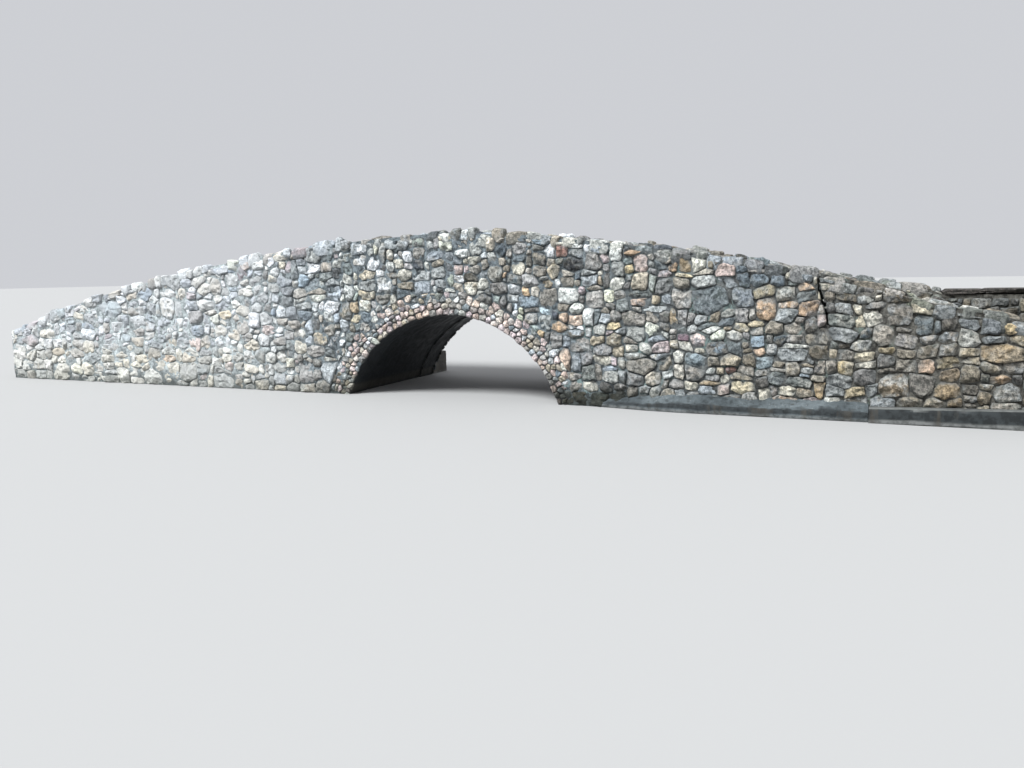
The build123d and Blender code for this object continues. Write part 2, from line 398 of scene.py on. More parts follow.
def cube_sphere(n):
    """Points and quads of a cube's surface, n cells a side."""
    idx, pts, quads = {}, [], []

    def at(p):
        key = tuple(int(round(c * n)) for c in p)
        if key not in idx:
            idx[key] = len(pts)
            pts.append([c * 2 - 1 for c in p])
        return idx[key]

    for axis in range(3):
        for side in (0, 1):
            u, w = (axis + 1) % 3, (axis + 2) % 3
            for i in range(n):
                for j in range(n):
                    c = []
                    for di, dj in ((0, 0), (1, 0), (1, 1), (0, 1)):
                        p = [0.0] * 3
                        p[axis], p[u], p[w] = float(side), (i + di) / n, (j + dj) / n
                        c.append(at(p))
                    quads.append(c if side else c[::-1])
    return np.array(pts), np.array(quads)


CUBES = {n: cube_sphere(n) for n in (4, 5, 6, 8)}


def boulder(bag, centre, dims, col, rng, turn=0.0, lean=0.0, wear=0.0, power=6.0, cuts=9, rough=1.0, n=5, col2=None):
    """A rough block: a box with broken faces. turn is about Z, lean about Y."""
    pts, quads = CUBES[n]
    p = pts / (np.abs(pts) ** power).sum(1)[:, None] ** (1 / power)
    seed = rng.randrange(1 << 20)
    for _ in range(cuts):
        u = np.array([rng.gauss(0, 1) for _ in range(3)])
        u /= np.linalg.norm(u)
        d = np.max(p @ u) * rng.uniform(.62, .90)
        p = p - np.maximum(0, p @ u - d)[:, None] * u * .97
    p = p * (1 + rough * (.08 * noise3(p, 1.7, seed) + .05 * noise3(p, 4.5, seed + 3)))[:, None]
    p = p * np.array(dims) / 2
    ct, st = math.cos(lean), math.sin(lean)
    p = p @ np.array([[ct, 0, -st], [0, 1, 0], [st, 0, ct]])
    ct, st = math.cos(turn), math.sin(turn)
    p = p @ np.array([[ct, st, 0], [-st, ct, 0], [0, 0, 1]])
    p = p + np.array(centre)
    rise = np.clip((p[:, 2] - (centre[2] - dims[2] / 2)) / dims[2], 0, 1) * .6 + .4
    at = np.column_stack([rise, np.full(len(p), rng.random()), np.full(len(p), wear)])
    bag.add(p, quads, np.zeros((0, 3), int), col, at, col2)


# ------------------------------------------------------------------ stone colours
TINTS = {
    "grey": (148, 152, 154), "pale": (190, 193, 193), "white": (210, 209, 202), "cream": (206, 201, 188), "blue": (140, 153, 161),
    "slate": (109, 116, 119), "dark": (88, 90, 92), "black": (60, 63, 68), "brown": (130, 126, 120), "tan": (166, 159, 147),
    "ochre": (170, 154, 132), "orange": (182, 159, 139), "peach": (192, 174, 164), "pink": (170, 156, 154), "red": (138, 110, 106),
    "wine": (112, 92, 97), "green": (138, 145, 139), "taupe": (149, 145, 140), "umber": (104, 100, 94), "gold": (188, 175, 148),
}
LEFT_MIX = [("pale", 32), ("grey", 20), ("white", 12), ("cream", 12), ("taupe", 8), ("tan", 5), ("blue", 4), ("pink", 2), ("slate", 2), ("brown", 2)]
MID_MIX = [("grey", 24), ("taupe", 15), ("dark", 12), ("slate", 12), ("brown", 9), ("pale", 17), ("white", 4), ("cream", 6), ("tan", 5), ("pink", 3), ("blue", 3), ("green", 2)]
RIGHT_MIX = [("taupe", 26), ("grey", 19), ("tan", 12), ("brown", 12), ("ochre", 3), ("cream", 9), ("slate", 7), ("gold", 2), ("pale", 6), ("pink", 3), ("umber", 4), ("green", 2)]
LOW_RIGHT_MIX = [("tan", 22), ("ochre", 9), ("taupe", 22), ("gold", 6), ("brown", 14), ("orange", 2), ("slate", 8), ("cream", 7), ("grey", 10)]
RING_MIX = [("taupe", 26), ("pink", 32), ("grey", 11), ("peach", 12), ("tan", 3), ("brown", 7), ("pale", 8), ("white", 2), ("slate", 3)]
CREST_MIX = [("grey", 32), ("taupe", 22), ("pale", 16), ("dark", 7), ("slate", 8), ("brown", 8), ("green", 4), ("cream", 4)]


def pick(mix, rng):
    t = rng.uniform(0, sum(w for _, w in mix))
    for name, w in mix:
        t -= w
        if t <= 0:
            return name
    return mix[0][0]


def tone(name, rng, lift=1.0):
    r, g, b = TINTS[name]
    k = lift * rng.uniform(.84, 1.12)
    w = rng.uniform(-3, 7)
    return lin(*(max(4, min(250, c)) for c in ((r + w) * k, (g + w * .3) * k, (b - w) * k)))


def stain_for(col, x, rng):
    """The second colour of a stone: usually near its own, now and then rusty or dark."""
    t = rng.random()
    other = tone("ochre" if t < .10 else "tan" if t < .25 else "pale" if t < .45 else "dark" if t < .55 else "grey", rng)
    k = rng.uniform(.25, .8)
    return col * (1 - k) + other * k


def wall_tint(x, z, rng):
    """A plausible stone for that place: pale on the left, greyer over the arch, warm low on the right. The lift by x
    also paints in light: lighter for the left wing's extra skylight, darker for the shade on the right end.
    """
    if x < -2.2:
        mix = LEFT_MIX if rng.random() < min(1, (-2.2 - x) / 1.8 + .35) else MID_MIX
        lift = 1.17 + .05 * min(1, (-2.2 - x) / 2.5)
    elif x < 1.6:
        mix = MID_MIX if rng.random() < .75 else (LEFT_MIX if x < 0 else RIGHT_MIX)
        lift = float(np.interp(x, [-1.2, -.5, 1.2, 1.6], [1.28, 1.24, 1.23, 1.22]))
    else:
        mix = LOW_RIGHT_MIX if z < .75 and x > 3.4 and rng.random() < .65 else RIGHT_MIX
        lift = float(np.interp(x, [2, 4.2, 4.8, 6.4, 8], [1.22, 1.15, 1.05, .97, .93]))
    if abs(x) < 1.5:
        lift *= rng.uniform(.80, 1.20)
    return tone(pick(mix, rng), rng, lift)


# ------------------------------------------------------------------ materials
def new_mat(name):
    m = bpy.data.materials.new(name)
    m.use_nodes = True
    nt = m.node_tree
    nt.nodes.clear()
    out = nt.nodes.new("ShaderNodeOutputMaterial")
    bs = nt.nodes.new("ShaderNodeBsdfPrincipled")
    nt.links.new(bs.outputs[0], out.inputs[0])
    return m, nt, bs


class G:
    """Short names for building a node tree."""

    def __init__(self, nt):
        self.nt = nt

    def node(self, kind, **props):
        n = self.nt.nodes.new(kind)
        for k, v in props.items():
            setattr(n, k, v)
        return n

    def put(self, sock, v):
        if isinstance(v, bpy.types.NodeSocket):
            self.nt.links.new(v, sock)
        elif v is not None:
            sock.default_value = v

    def attr(self, name, out="Fac"):
        n = self.node("ShaderNodeAttribute", attribute_name=name)
        return n.outputs[out]

    def math(self, op, a, b=None, c=None, clamp=False):
        n = self.node("ShaderNodeMath", operation=op, use_clamp=clamp)
        self.put(n.inputs[0], a)
        self.put(n.inputs[1], b)
        if c is not None:
            self.put(n.inputs[2], c)
        return n.outputs[0]

    def vmath(self, op, a, b=None, scale=None):
        n = self.node("ShaderNodeVectorMath", operation=op)
        self.put(n.inputs[0], a)
        if b is not None:
            self.put(n.inputs[1], b)
        if scale is not None:
            self.put(n.inputs["Scale"], scale)
        return n.outputs[0]

    def noise(self, vec, scale, detail=4, rough=.55, out=0):
        n = self.node("ShaderNodeTexNoise")
        self.put(n.inputs["Vector"], vec)
        n.inputs["Scale"].default_value = scale
        n.inputs["Detail"].default_value = detail
        n.inputs["Roughness"].default_value = rough
        return n.outputs[out]

    def voronoi(self, vec, scale, feature="F1", out="Distance"):
        n = self.node("ShaderNodeTexVoronoi", feature=feature)
        self.put(n.inputs["Vector"], vec)
        n.inputs["Scale"].default_value = scale
        return n.outputs[out]

    def span(self, v, a, b, c=0.0, d=1.0):
        n = self.node("ShaderNodeMapRange", interpolation_type="SMOOTHSTEP")
        self.put(n.inputs[0], v)
        for i, x in enumerate((a, b, c, d)):
            self.put(n.inputs[i + 1], x)
        return n.outputs[0]

    def mix(self, f, a, b, kind="MIX"):
        n = self.node("ShaderNodeMix", data_type="RGBA", blend_type=kind)
        self.put(n.inputs[0], f)
        self.put(n.inputs[6], a if not isinstance(a, (tuple, list, np.ndarray)) else (*[float(x) for x in a[:3]], 1))
        self.put(n.inputs[7], b if not isinstance(b, (tuple, list, np.ndarray)) else (*[float(x) for x in b[:3]], 1))
        return n.outputs[2]

    def pos(self):
        return self.node("ShaderNodeTexCoord").outputs["Object"]

    def split(self, v):
        n = self.node("ShaderNodeSeparateXYZ")
        self.put(n.inputs[0], v)
        return n.outputs

    def bump(self, height, strength=.5, distance=.01, normal=None):
        n = self.node("ShaderNodeBump")
        n.inputs["Strength"].default_value = strength
        n.inputs["Distance"].default_value = distance
        self.put(n.inputs["Height"], height)
        if normal is not None:
            self.put(n.inputs["Normal"], normal)
        return n.outputs[0]


def stone_material(name, lichen=.5, edge_dirt_and_shade=1.0, smear=1.0, foot=.24):
    m, nt, bs = new_mat(name)
    g = G(nt)
    pos = g.pos()
    lot = g.attr("lot")
    rise = g.attr("rise")
    wear = g.attr("wear")
    base = g.attr("tint", "Color")
    stain = g.attr("stain", "Color")
    off = g.vmath("ADD", pos, g.vmath("SCALE", (3.7, 9.1, 5.3), scale=g.math("MULTIPLY", lot, 40.0)))
    big = g.noise(off, 8.0, 4, .62)
    mid = g.noise(off, 26.0, 5, .68)
    fine = g.noise(off, 85.0, 4, .72)
    px = g.split(pos)[0]
    clean_and_lit = g.span(px, -1.2, -3.6, 0, 1)                # the left wing is bleached and clean, and painted lighter for the extra skylight it gets
    # patches of the stone's second colour, then painted shade in the hollows and painted highlights on the ridges
    c = g.mix(g.span(big, .44, .60, 0, .9), base, stain)
    shaded_hollow = g.span(mid, .50, .585)
    lit_ridge = g.span(mid, .47, .37)
    c = g.mix(g.math("MULTIPLY", shaded_hollow, g.span(clean_and_lit, 0, 1, .86, .24)), c, g.mix(1.0, c, (.44, .465, .475), "MULTIPLY"))
    c = g.mix(g.math("MULTIPLY", lit_ridge, g.span(clean_and_lit, 0, 1, .66, .26)), c, g.mix(1.0, c, (1.52, 1.52, 1.51), "MULTIPLY"))
    calm = c
    c = g.mix(g.span(fine, .38, .62, .0, 1.0), g.mix(1.0, c, (.64, .66, .67), "MULTIPLY"), g.mix(1.0, c, (1.22, 1.22, 1.22), "MULTIPLY"))
    # on the left wing: calmer mottling and a pull towards pale, for bleached stone and painted skylight
    c = g.mix(g.math("MULTIPLY", clean_and_lit, .35), c, calm)
    c = g.mix(clean_and_lit, c, g.mix(1.0, c, (1.06, 1.05, 1.07), "MULTIPLY"))
    c = g.mix(g.math("MULTIPLY", clean_and_lit, .40), c, lin(197, 199, 201))
    # pits, darkened with painted shade
    pits = g.voronoi(off, 34.0)
    pit_shade = g.math("MULTIPLY", g.span(pits, .08, .28, 1.0, 0.0), g.span(big, .38, .62))
    c = g.mix(g.math("MULTIPLY", pit_shade, .7), c, g.mix(1.0, c, (.24, .255, .26), "MULTIPLY"))
    # mortar smeared over the rim, and dark grime with painted contact shade low on the stone by the joints
    rim = g.math("ADD", rise, g.math("MULTIPLY", g.math("SUBTRACT", mid, .5), 1.1))
    c = g.mix(g.math("MULTIPLY", g.span(rim, .40, .90, .72, 0.0), smear), c, g.mix(clean_and_lit, lin(120, 124, 124), lin(178, 181, 182)))
    # painted contact shade, with some grime, low on the stone where it meets the mortar
    edge = g.math("MULTIPLY", g.span(rise, .05, .75, 1.0, 0.0), g.span(fine, .3, .6, .5, 1.0))
    c = g.mix(g.math("MULTIPLY", edge, g.span(clean_and_lit, 0, 1, .50 * edge_dirt_and_shade, .13 * edge_dirt_and_shade)), c, (.026, .031, .033))
    # grey lichen film and small pale spots, stronger where the stone is weathered
    film = g.math("MULTIPLY", g.span(g.noise(pos, 3.1, 4, .6), .50, .66), g.span(mid, .40, .62))
    c = g.mix(g.math("MULTIPLY", film, g.math("ADD", g.math("MULTIPLY", wear, .5), .16 * lichen)), c, lin(118, 124, 113))
    spots = g.math("MULTIPLY", g.span(g.voronoi(pos, 17.0), .0, .26, 1, 0), g.span(fine, .45, .6))
    c = g.mix(g.math("MULTIPLY", spots, g.math("ADD", g.math("MULTIPLY", wear, .55), .14 * lichen)), c, lin(176, 179, 171))
    # painted shade on undersides that face down, and painted light on tops that face up
    up = g.split(g.node("ShaderNodeNewGeometry").outputs["Normal"])[2]
    under = g.span(up, .10, -.55, 0, 1)
    c = g.mix(g.math("MULTIPLY", under, .55), c, g.mix(1.0, c, (.27, .29, .30), "MULTIPLY"))
    c = g.mix(g.math("MULTIPLY", g.span(up, .25, .75), .12), c, g.mix(1.0, c, (1.35, 1.36, 1.36), "MULTIPLY"))
    # damp and algae near the foot
    z = g.split(pos)[2]
    wob = g.math("ADD", z, g.math("MULTIPLY", g.math("SUBTRACT", g.noise(pos, 4.0, 3), .5), .22))
    damp = g.span(wob, .02, foot, 1.0, 0.0)
    c = g.mix(g.math("MULTIPLY", damp, .45 if foot < .3 else .72), c, g.mix(1.0, c, (.34, .35, .31), "MULTIPLY"))
    # brown staining on the low stones of the left wing
    splash = g.math("MULTIPLY", clean_and_lit, g.span(wob, .42, .72, .55, 0))
    c = g.mix(splash, c, g.mix(1.0, c, (1.0, .93, .79), "MULTIPLY"))
    # the damp, green-stained foot right of the arch
    wet = g.math("MULTIPLY", g.math("MULTIPLY", g.span(px, 1.2, 1.6), g.span(px, 2.3, 3.1, 1, 0)), g.span(wob, .14, .34, 1, 0))
    c = g.mix(g.math("MULTIPLY", wet, .86), c, lin(40, 42, 36))
    # a painted cool cast of the skylight, turning warm and neutral towards the right end
    c = g.mix(1.0, c, g.mix(g.span(px, 3.6, 5.4), (1.045, 1.065, 1.085), (1.02, 1.01, .985)), "MULTIPLY")
    g.put(bs.inputs["Base Color"], c)
    ro = g.math("SUBTRACT", g.span(mid, .3, .7, .80, .97), g.math("MULTIPLY", damp, .28))
    g.put(bs.inputs["Roughness"], ro)
    bs.inputs["Specular IOR Level"].default_value = .22
    h = g.math("ADD", g.math("MULTIPLY", g.math("SUBTRACT", mid, g.math("MULTIPLY", shaded_hollow, .28)), .9),
               g.math("ADD", g.math("MULTIPLY", fine, .40), g.math("MULTIPLY", g.span(pits, .0, .3), .25)))
    h = g.math("MULTIPLY", h, g.span(clean_and_lit, 0, 1, 1.0, .66))
    g.put(bs.inputs["Normal"], g.bump(h, 1.0, .034))
    return m


def mortar_material(name):
    m, nt, bs = new_mat(name)
    g = G(nt)
    pos = g.pos()
    x, y, z = g.split(pos)
    a = g.noise(pos, 2.3, 4, .6)
    b = g.noise(pos, 16.0, 6, .68)
    f = g.noise(pos, 110.0, 3, .7)
    # pale on the left wing, grey over the arch, brown-grey and dirty on the right; the step also paints in the left
    # wing's extra skylight and the shade on the right
    c = g.mix(g.span(x, -1.4, -3.8), g.mix(g.span(x, 1.2, 3.6), lin(126, 131, 133), lin(106, 105, 102)), lin(188, 190, 188))
    c = g.mix(g.span(a, .35, .65, 0, .5), c, g.mix(1.0, c, (.62, .62, .61), "MULTIPLY"))
    c = g.mix(g.math("MULTIPLY", g.span(b, .48, .60), g.span(x, -1.4, -3.8, .92, .60)), c, g.mix(1.0, c, (.30, .30, .30), "MULTIPLY"))
    c = g.mix(g.span(b, .46, .36, 0, .8), c, g.mix(1.0, c, (1.75, 1.75, 1.73), "MULTIPLY"))
    c = g.mix(g.span(f, .35, .7), g.mix(1.0, c, (.75, .75, .75), "MULTIPLY"), g.mix(1.0, c, (1.18, 1.18, 1.18), "MULTIPLY"))
    # pits, darkened with painted shade
    pit_shade = g.math("MULTIPLY", g.span(g.voronoi(pos, 46.0), .07, .24, 1, 0), g.span(a, .34, .56))
    c = g.mix(g.math("MULTIPLY", pit_shade, .75), c, g.mix(1.0, c, (.26, .26, .26), "MULTIPLY"))
    speck = g.math("MULTIPLY", g.span(g.voronoi(g.vmath("ADD", pos, (3.1, 1.7, .9)), 38.0), .05, .17, 1, 0), g.span(b, .42, .52))
    c = g.mix(g.math("MULTIPLY", speck, .55), c, g.mix(1.0, c, (1.9, 1.9, 1.88), "MULTIPLY"))
    # pale blue-green lichen right of the arch
    zone = g.math("MULTIPLY", g.span(x, .9, 1.8), g.span(x, 4.8, 6.0, 1, 0))
    teal = g.math("MULTIPLY", g.math("MULTIPLY", zone, g.span(g.noise(pos, 4.0, 4, .6), .50, .62)), g.span(b, .56, .46))
    c = g.mix(g.math("MULTIPLY", teal, .6), c, lin(132, 152, 146))
    wob = g.math("ADD", z, g.math("MULTIPLY", g.math("SUBTRACT", g.noise(pos, 4.0, 3), .5), .3))
    damp = g.span(wob, .03, .30, 1.0, 0.0)
    c = g.mix(g.math("MULTIPLY", damp, .7), c, lin(40, 41, 33))
    # a painted teal cast of the cool skylight, with the right end painted darker and warmer for the shade there
    c = g.mix(1.0, c, g.mix(g.span(x, 3.6, 5.4), (1.0, 1.08, 1.13), (.94, .93, .88)), "MULTIPLY")
    g.put(bs.inputs["Base Color"], c)
    g.put(bs.inputs["Roughness"], g.math("SUBTRACT", .95, g.math("MULTIPLY", damp, .25)))
    bs.inputs["Specular IOR Level"].default_value = .2
    h = g.math("SUBTRACT", g.math("MULTIPLY", f, .3), g.math("ADD", b, g.math("MULTIPLY", pit_shade, .35)))
    g.put(bs.inputs["Normal"], g.bump(h, 1.0, .038))
    return m


def shaded_barrel_material(name):
    m, nt, bs = new_mat(name)
    g = G(nt)
    pos = g.pos()
    x, y, z = g.split(pos)
    a = g.noise(pos, 1.6, 4, .6)
    b = g.noise(pos, 9.0, 5, .6)
    f = g.noise(pos, 70.0, 4, .7)
    # near-black wet, sooty concrete, its colour also darkened as painted shade for the deep shade under the arch
    c = g.mix(g.span(a, .3, .7), lin(13, 19, 23), lin(24, 30, 34))
    c = g.mix(g.span(b, .5, .72, 0, .6), c, lin(12, 15, 17))
    # board lines of the shutter, along the barrel
    boards = g.node("ShaderNodeTexWave", wave_type="BANDS", bands_direction="Z")
    g.put(boards.inputs["Vector"], g.vmath("MULTIPLY", pos, (.2, .05, 1.0)))
    boards.inputs["Scale"].default_value = 2.4
    boards.inputs["Distortion"].default_value = .6
    c = g.mix(g.span(boards.outputs["Fac"], .0, .06, .45, 0), c, lin(20, 19, 17))
    front = g.math("ABSOLUTE", g.split(g.node("ShaderNodeNewGeometry").outputs["Normal"])[1])
    # pale leached streaks running down
    streak = g.noise(g.vmath("MULTIPLY", pos, (1, 5.0, .6)), 2.0, 3, .5)
    c = g.mix(g.span(streak, .60, .74, 0, .18), c, lin(84, 86, 84))
    tide = g.math("MULTIPLY", g.span(z, .1, .16, 1, 0), g.span(z, .0, .05))
    c = g.mix(g.math("MULTIPLY", tide, .25), c, lin(98, 92, 78))
    # grey mortar where it shows between the cobbles of the face
    c = g.mix(g.span(front, .6, .9), c, g.mix(g.span(b, .42, .58), lin(78, 80, 80), lin(36, 38, 39)))
    g.put(bs.inputs["Base Color"], c)
    g.put(bs.inputs["Roughness"], g.span(b, .3, .7, .42, .78))
    g.put(bs.inputs["Normal"], g.bump(g.math("ADD", g.math("MULTIPLY", b, .5), g.math("MULTIPLY", f, .35)), .35, .01))
    return m


def concrete_material(name, light=(168, 164, 154), dark=(96, 93, 86), wet=0.0, broom=False, coarse=0.0):
    m, nt, bs = new_mat(name)
    g = G(nt)
    pos = g.pos()
    x, y, z = g.split(pos)
    a = g.noise(pos, 1.8, 5, .62)
    b = g.noise(pos, 14.0, 6, .66)
    f = g.noise(pos, 150.0, 3, .7)
    c = g.mix(g.span(a, .20, .80) if broom else g.span(a, .32, .66), lin(*dark), lin(*light))
    c = g.mix(g.span(b, .50, .62, 0, .4 + .4 * coarse), c, g.mix(1.0, c, (.52, .52, .51), "MULTIPLY"))
    c = g.mix(g.span(b, .46, .36, 0, .2 + .4 * coarse), c, g.mix(1.0, c, (1.4, 1.4, 1.4), "MULTIPLY"))
    c = g.mix(g.span(f, .3, .7), g.mix(1.0, c, (.80, .80, .80), "MULTIPLY"), g.mix(1.0, c, (1.16, 1.16, 1.16), "MULTIPLY"))
    agg = g.voronoi(pos, 60.0)
    c = g.mix(g.span(agg, .0, .17, .5, 0), c, lin(84, 78, 70))
    if coarse:
        chips = g.voronoi(pos, 33.0)
        c = g.mix(g.math("MULTIPLY", g.span(chips, .0, .15, 1, 0), g.span(a, .4, .6)), c, lin(196, 196, 192))
    h = g.math("ADD", g.math("MULTIPLY", b, -.5), g.math("MULTIPLY", f, .3))
    if broom:
        w = g.noise(g.vmath("MULTIPLY", pos, (260, 3, 3)), 1.0, 2, .5)
        h = g.math("ADD", h, g.math("MULTIPLY", w, .35))
        edge = g.math("ABSOLUTE", g.math("ADD", y, .15))
        c = g.mix(g.math("MULTIPLY", g.span(g.math("ADD", edge, g.math("MULTIPLY", g.math("SUBTRACT", b, .5), .2)), .42, .78), .5), c, lin(86, 84, 72))
        wheel = g.noise(g.vmath("MULTIPLY", pos, (.5, 1, 1)), 2.2, 4, .6)
        c = g.mix(g.span(wheel, .45, .75, 0, .22), c, lin(120, 116, 104))
    ro = .9
    if wet:
        # damp dark front, dry pale top, a pale tide line at the foot
        up = g.split(g.node("ShaderNodeNewGeometry").outputs["Normal"])[2]
        side = g.span(g.math("ADD", up, g.math("MULTIPLY", g.math("SUBTRACT", b, .5), .5)), .30, .70, 1, 0)
        wob = g.math("ADD", z, g.math("MULTIPLY", g.math("SUBTRACT", g.noise(pos, 3.0, 5, .6), .5), .05))
        wetness = g.math("MULTIPLY", side, g.span(wob, .030, .060))
        c = g.mix(g.math("MULTIPLY", wetness, wet), c, g.mix(g.span(b, .4, .6), lin(44, 49, 51), lin(26, 30, 32)))
        foot = g.math("MULTIPLY", side, g.span(wob, .025, .045, 1, 0))
        c = g.mix(g.math("MULTIPLY", foot, .65), c, g.mix(g.span(b, .40, .60), lin(120, 122, 121), lin(84, 86, 85)))
        # brown stains running down the front
        run = g.span(g.noise(g.vmath("MULTIPLY", pos, (1, 1, .15)), 5.0, 4, .6), .54, .66, 0, .4)
        c = g.mix(g.math("MULTIPLY", run, side), c, lin(78, 72, 62))
        ro = g.math("SUBTRACT", .9, g.math("MULTIPLY", wetness, .3))
    g.put(bs.inputs["Base Color"], c)
    g.put(bs.inputs["Roughness"], ro)
    bs.inputs["Specular IOR Level"].default_value = .3
    g.put(bs.inputs["Normal"], g.bump(h, .5 + .5 * coarse, .010 + .014 * coarse))
    return m


STONE = stone_material("fieldstone")
CREST_STONE = stone_material("crest_stone", lichen=1.2, edge_dirt_and_shade=.7, smear=.6)
COBBLE = stone_material("cobble", lichen=.2, edge_dirt_and_shade=1.5, smear=.2, foot=.50)
MORTAR = mortar_material("mortar")
BARREL_SHADED = shaded_barrel_material("barrel_concrete")
PATH_MAT = concrete_material("path_concrete", (166, 163, 154), (114, 111, 104), broom=True)
TOE_MAT = concrete_material("toe_concrete", (101, 109, 112), (70, 77, 80), wet=.9, coarse=1.0)
KERB_MAT = concrete_material("kerb_concrete", (109, 111, 109), (82, 84, 83), wet=.95)
CHANNEL_MAT = concrete_material("channel_concrete", (116, 111, 102), (76, 72, 65), wet=.4)
CAP_MAT = stone_material("cap_stone", lichen=.1, edge_dirt_and_shade=.8, smear=0.0)

for name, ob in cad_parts.items():
    if "path_slab" in name:
        mat = PATH_MAT
    # the barrel and the arch ring take the dark concrete, which carries painted shade under the arch
    elif "arch_barrel" in name or "arch_ring" in name:
        mat = BARREL_SHADED
    elif "toe" in name:
        mat = TOE_MAT
    elif "kerb" in name:
        mat = KERB_MAT
    elif "channel" in name:
        mat = CHANNEL_MAT
    elif "cap_slabs" in name:
        mat = CAP_MAT
    else:
        mat = MORTAR
    if not ob.material_slots:
        ob.data.materials.append(mat)
    for s in ob.material_slots:
        s.material = mat

# ------------------------------------------------------------------ faces to lay stones on
FACES = {
    "front": lambda a, b, n: np.column_stack([a, Y_FRONT - n, b]),
    "back": lambda a, b, n: np.column_stack([-a, Y_BACK + n, b]),
    "front_in": lambda a, b, n: np.column_stack([-a, Y_FRONT_IN + n, b]),
    "back_in": lambda a, b, n: np.column_stack([a, Y_BACK_IN - n, b]),
    "left_end": lambda a, b, n: np.column_stack([-END - n, -a, b]),
    "right_end": lambda a, b, n: np.column_stack([END + n, a, b]),
}
BED = .045       # face stones stop this far under the crest line, against the stones laid along the top


def ring_reach(t):
    """How far the ring's cobbles run out from the arch's centre, at that angle from the crown."""
    q = np.column_stack([np.atleast_1d(t) * 3.0, np.full(np.size(t), 4.4), np.full(np.size(t), 1.1)])
    return 1.865 + .085 * noise3(q, 1.0, 71) + .05 * noise3(q, 2.9, 72)


def crack_side(poly, x, z):
    """Trims a cell at the open crack."""
    if not 3.9 < x < 5.2 or z < .72:
        return poly
    cx = float(np.interp(-z, [-p[1] for p in CRACK], [p[0] for p in CRACK]))
    dx = (float(np.interp(-(z - .1), [-p[1] for p in CRACK], [p[0] for p in CRACK])) - cx) / -.1
    # line x = cx + dx * (zz - z)
    wide = .014 if z > 1.2 else .010 if z > 1.0 else .003
    if x < cx:
        return clip(poly, 1, -dx, cx - wide - dx * z)
    return clip(poly, -1, dx, -(cx + wide) + dx * z)


def make_cut(crest, low, high_gap, lo_a, hi_a, arch=True, crack=False, flip=False):
    def cut(poly, a, b):
        x = -a if flip else a
        top = on_line(crest, x) - high_gap
        s = slope_of(crest, x) * (-1 if flip else 1)
        poly = clip(poly, -s, 1, top - s * a)
        if poly:
            base = low(x)
            ls = (low(x + .05) - low(x - .05)) / .1 * (-1 if flip else 1)
            poly = clip(poly, ls, -1, -(base - ls * a))
        if poly:
            poly = clip(poly, 1, 0, hi_a)
        if poly:
            poly = clip(poly, -1, 0, -lo_a)
        if poly and arch:
            d = math.hypot(a, b - ARCH_ZC)
            if d < RING_R + .7:
                nx, ny = a / d, (b - ARCH_ZC) / d
                poly = clip(poly, -nx, -ny, -float(ring_reach(math.atan2(a, b - ARCH_ZC))[0]) - ny * ARCH_ZC)
        if poly and crack:
            poly = crack_side(poly, a, b)
        return poly
    return cut


def lay(a0, a1, sizes, rng, crest, low, gap, cut, arch=True, flip=False, fixed=(), stop=None, seed=0, amp=1.0, pitch=.025):
    """Stones over a face as [(outline, number in fixed or None)]."""
    nx, nz = int(round((a1 - a0) / pitch)), int(math.ceil(2.15 / pitch))
    ca, cb = a0 + (np.arange(nx) + .5) * pitch, (np.arange(nz) + .5) * pitch
    xs = -ca if flip else ca
    taken = (cb[:, None] > on_line(crest, xs)[None] - gap + .03) | (cb[:, None] < np.array([low(x) for x in xs])[None] - .03)
    if arch:
        ga, gb = np.meshgrid(ca, cb - ARCH_ZC)
        taken |= np.hypot(ga, gb) < ring_reach(np.arctan2(ga, gb).ravel()).reshape(ga.shape) - .03
    out = []
    free = lambda a: float(np.interp(-a if flip else a, [-8, 0, 2, 5], [.78, .72, .58, .42]))
    for poly, n in settle(pack(a0, a1, 2.15, sizes, rng, pitch, fixed, stop, taken), rng, random_work=free):
        poly = sway(poly, seed, amp)
        cx, cz = centre_of(poly)
        poly = cut(poly, cx, cz)
        if len(poly) >= 3 and area_of(poly) > 9e-4:
            out.append((poly, n))
    return out


def front_sizes(a, b):
    t = [-8, -4, -1, 1, 3, 8]
    return (float(np.interp(a, t, [8.8, 8.2, 7.0, 7.2, 8.0, 8.6])), float(np.interp(a, t, [5.8, 5.8, 5.8, 5.8, 5.6, 5.4])),
            float(np.interp(a, t, [.1, .1, .1, .2, .35, .5])))


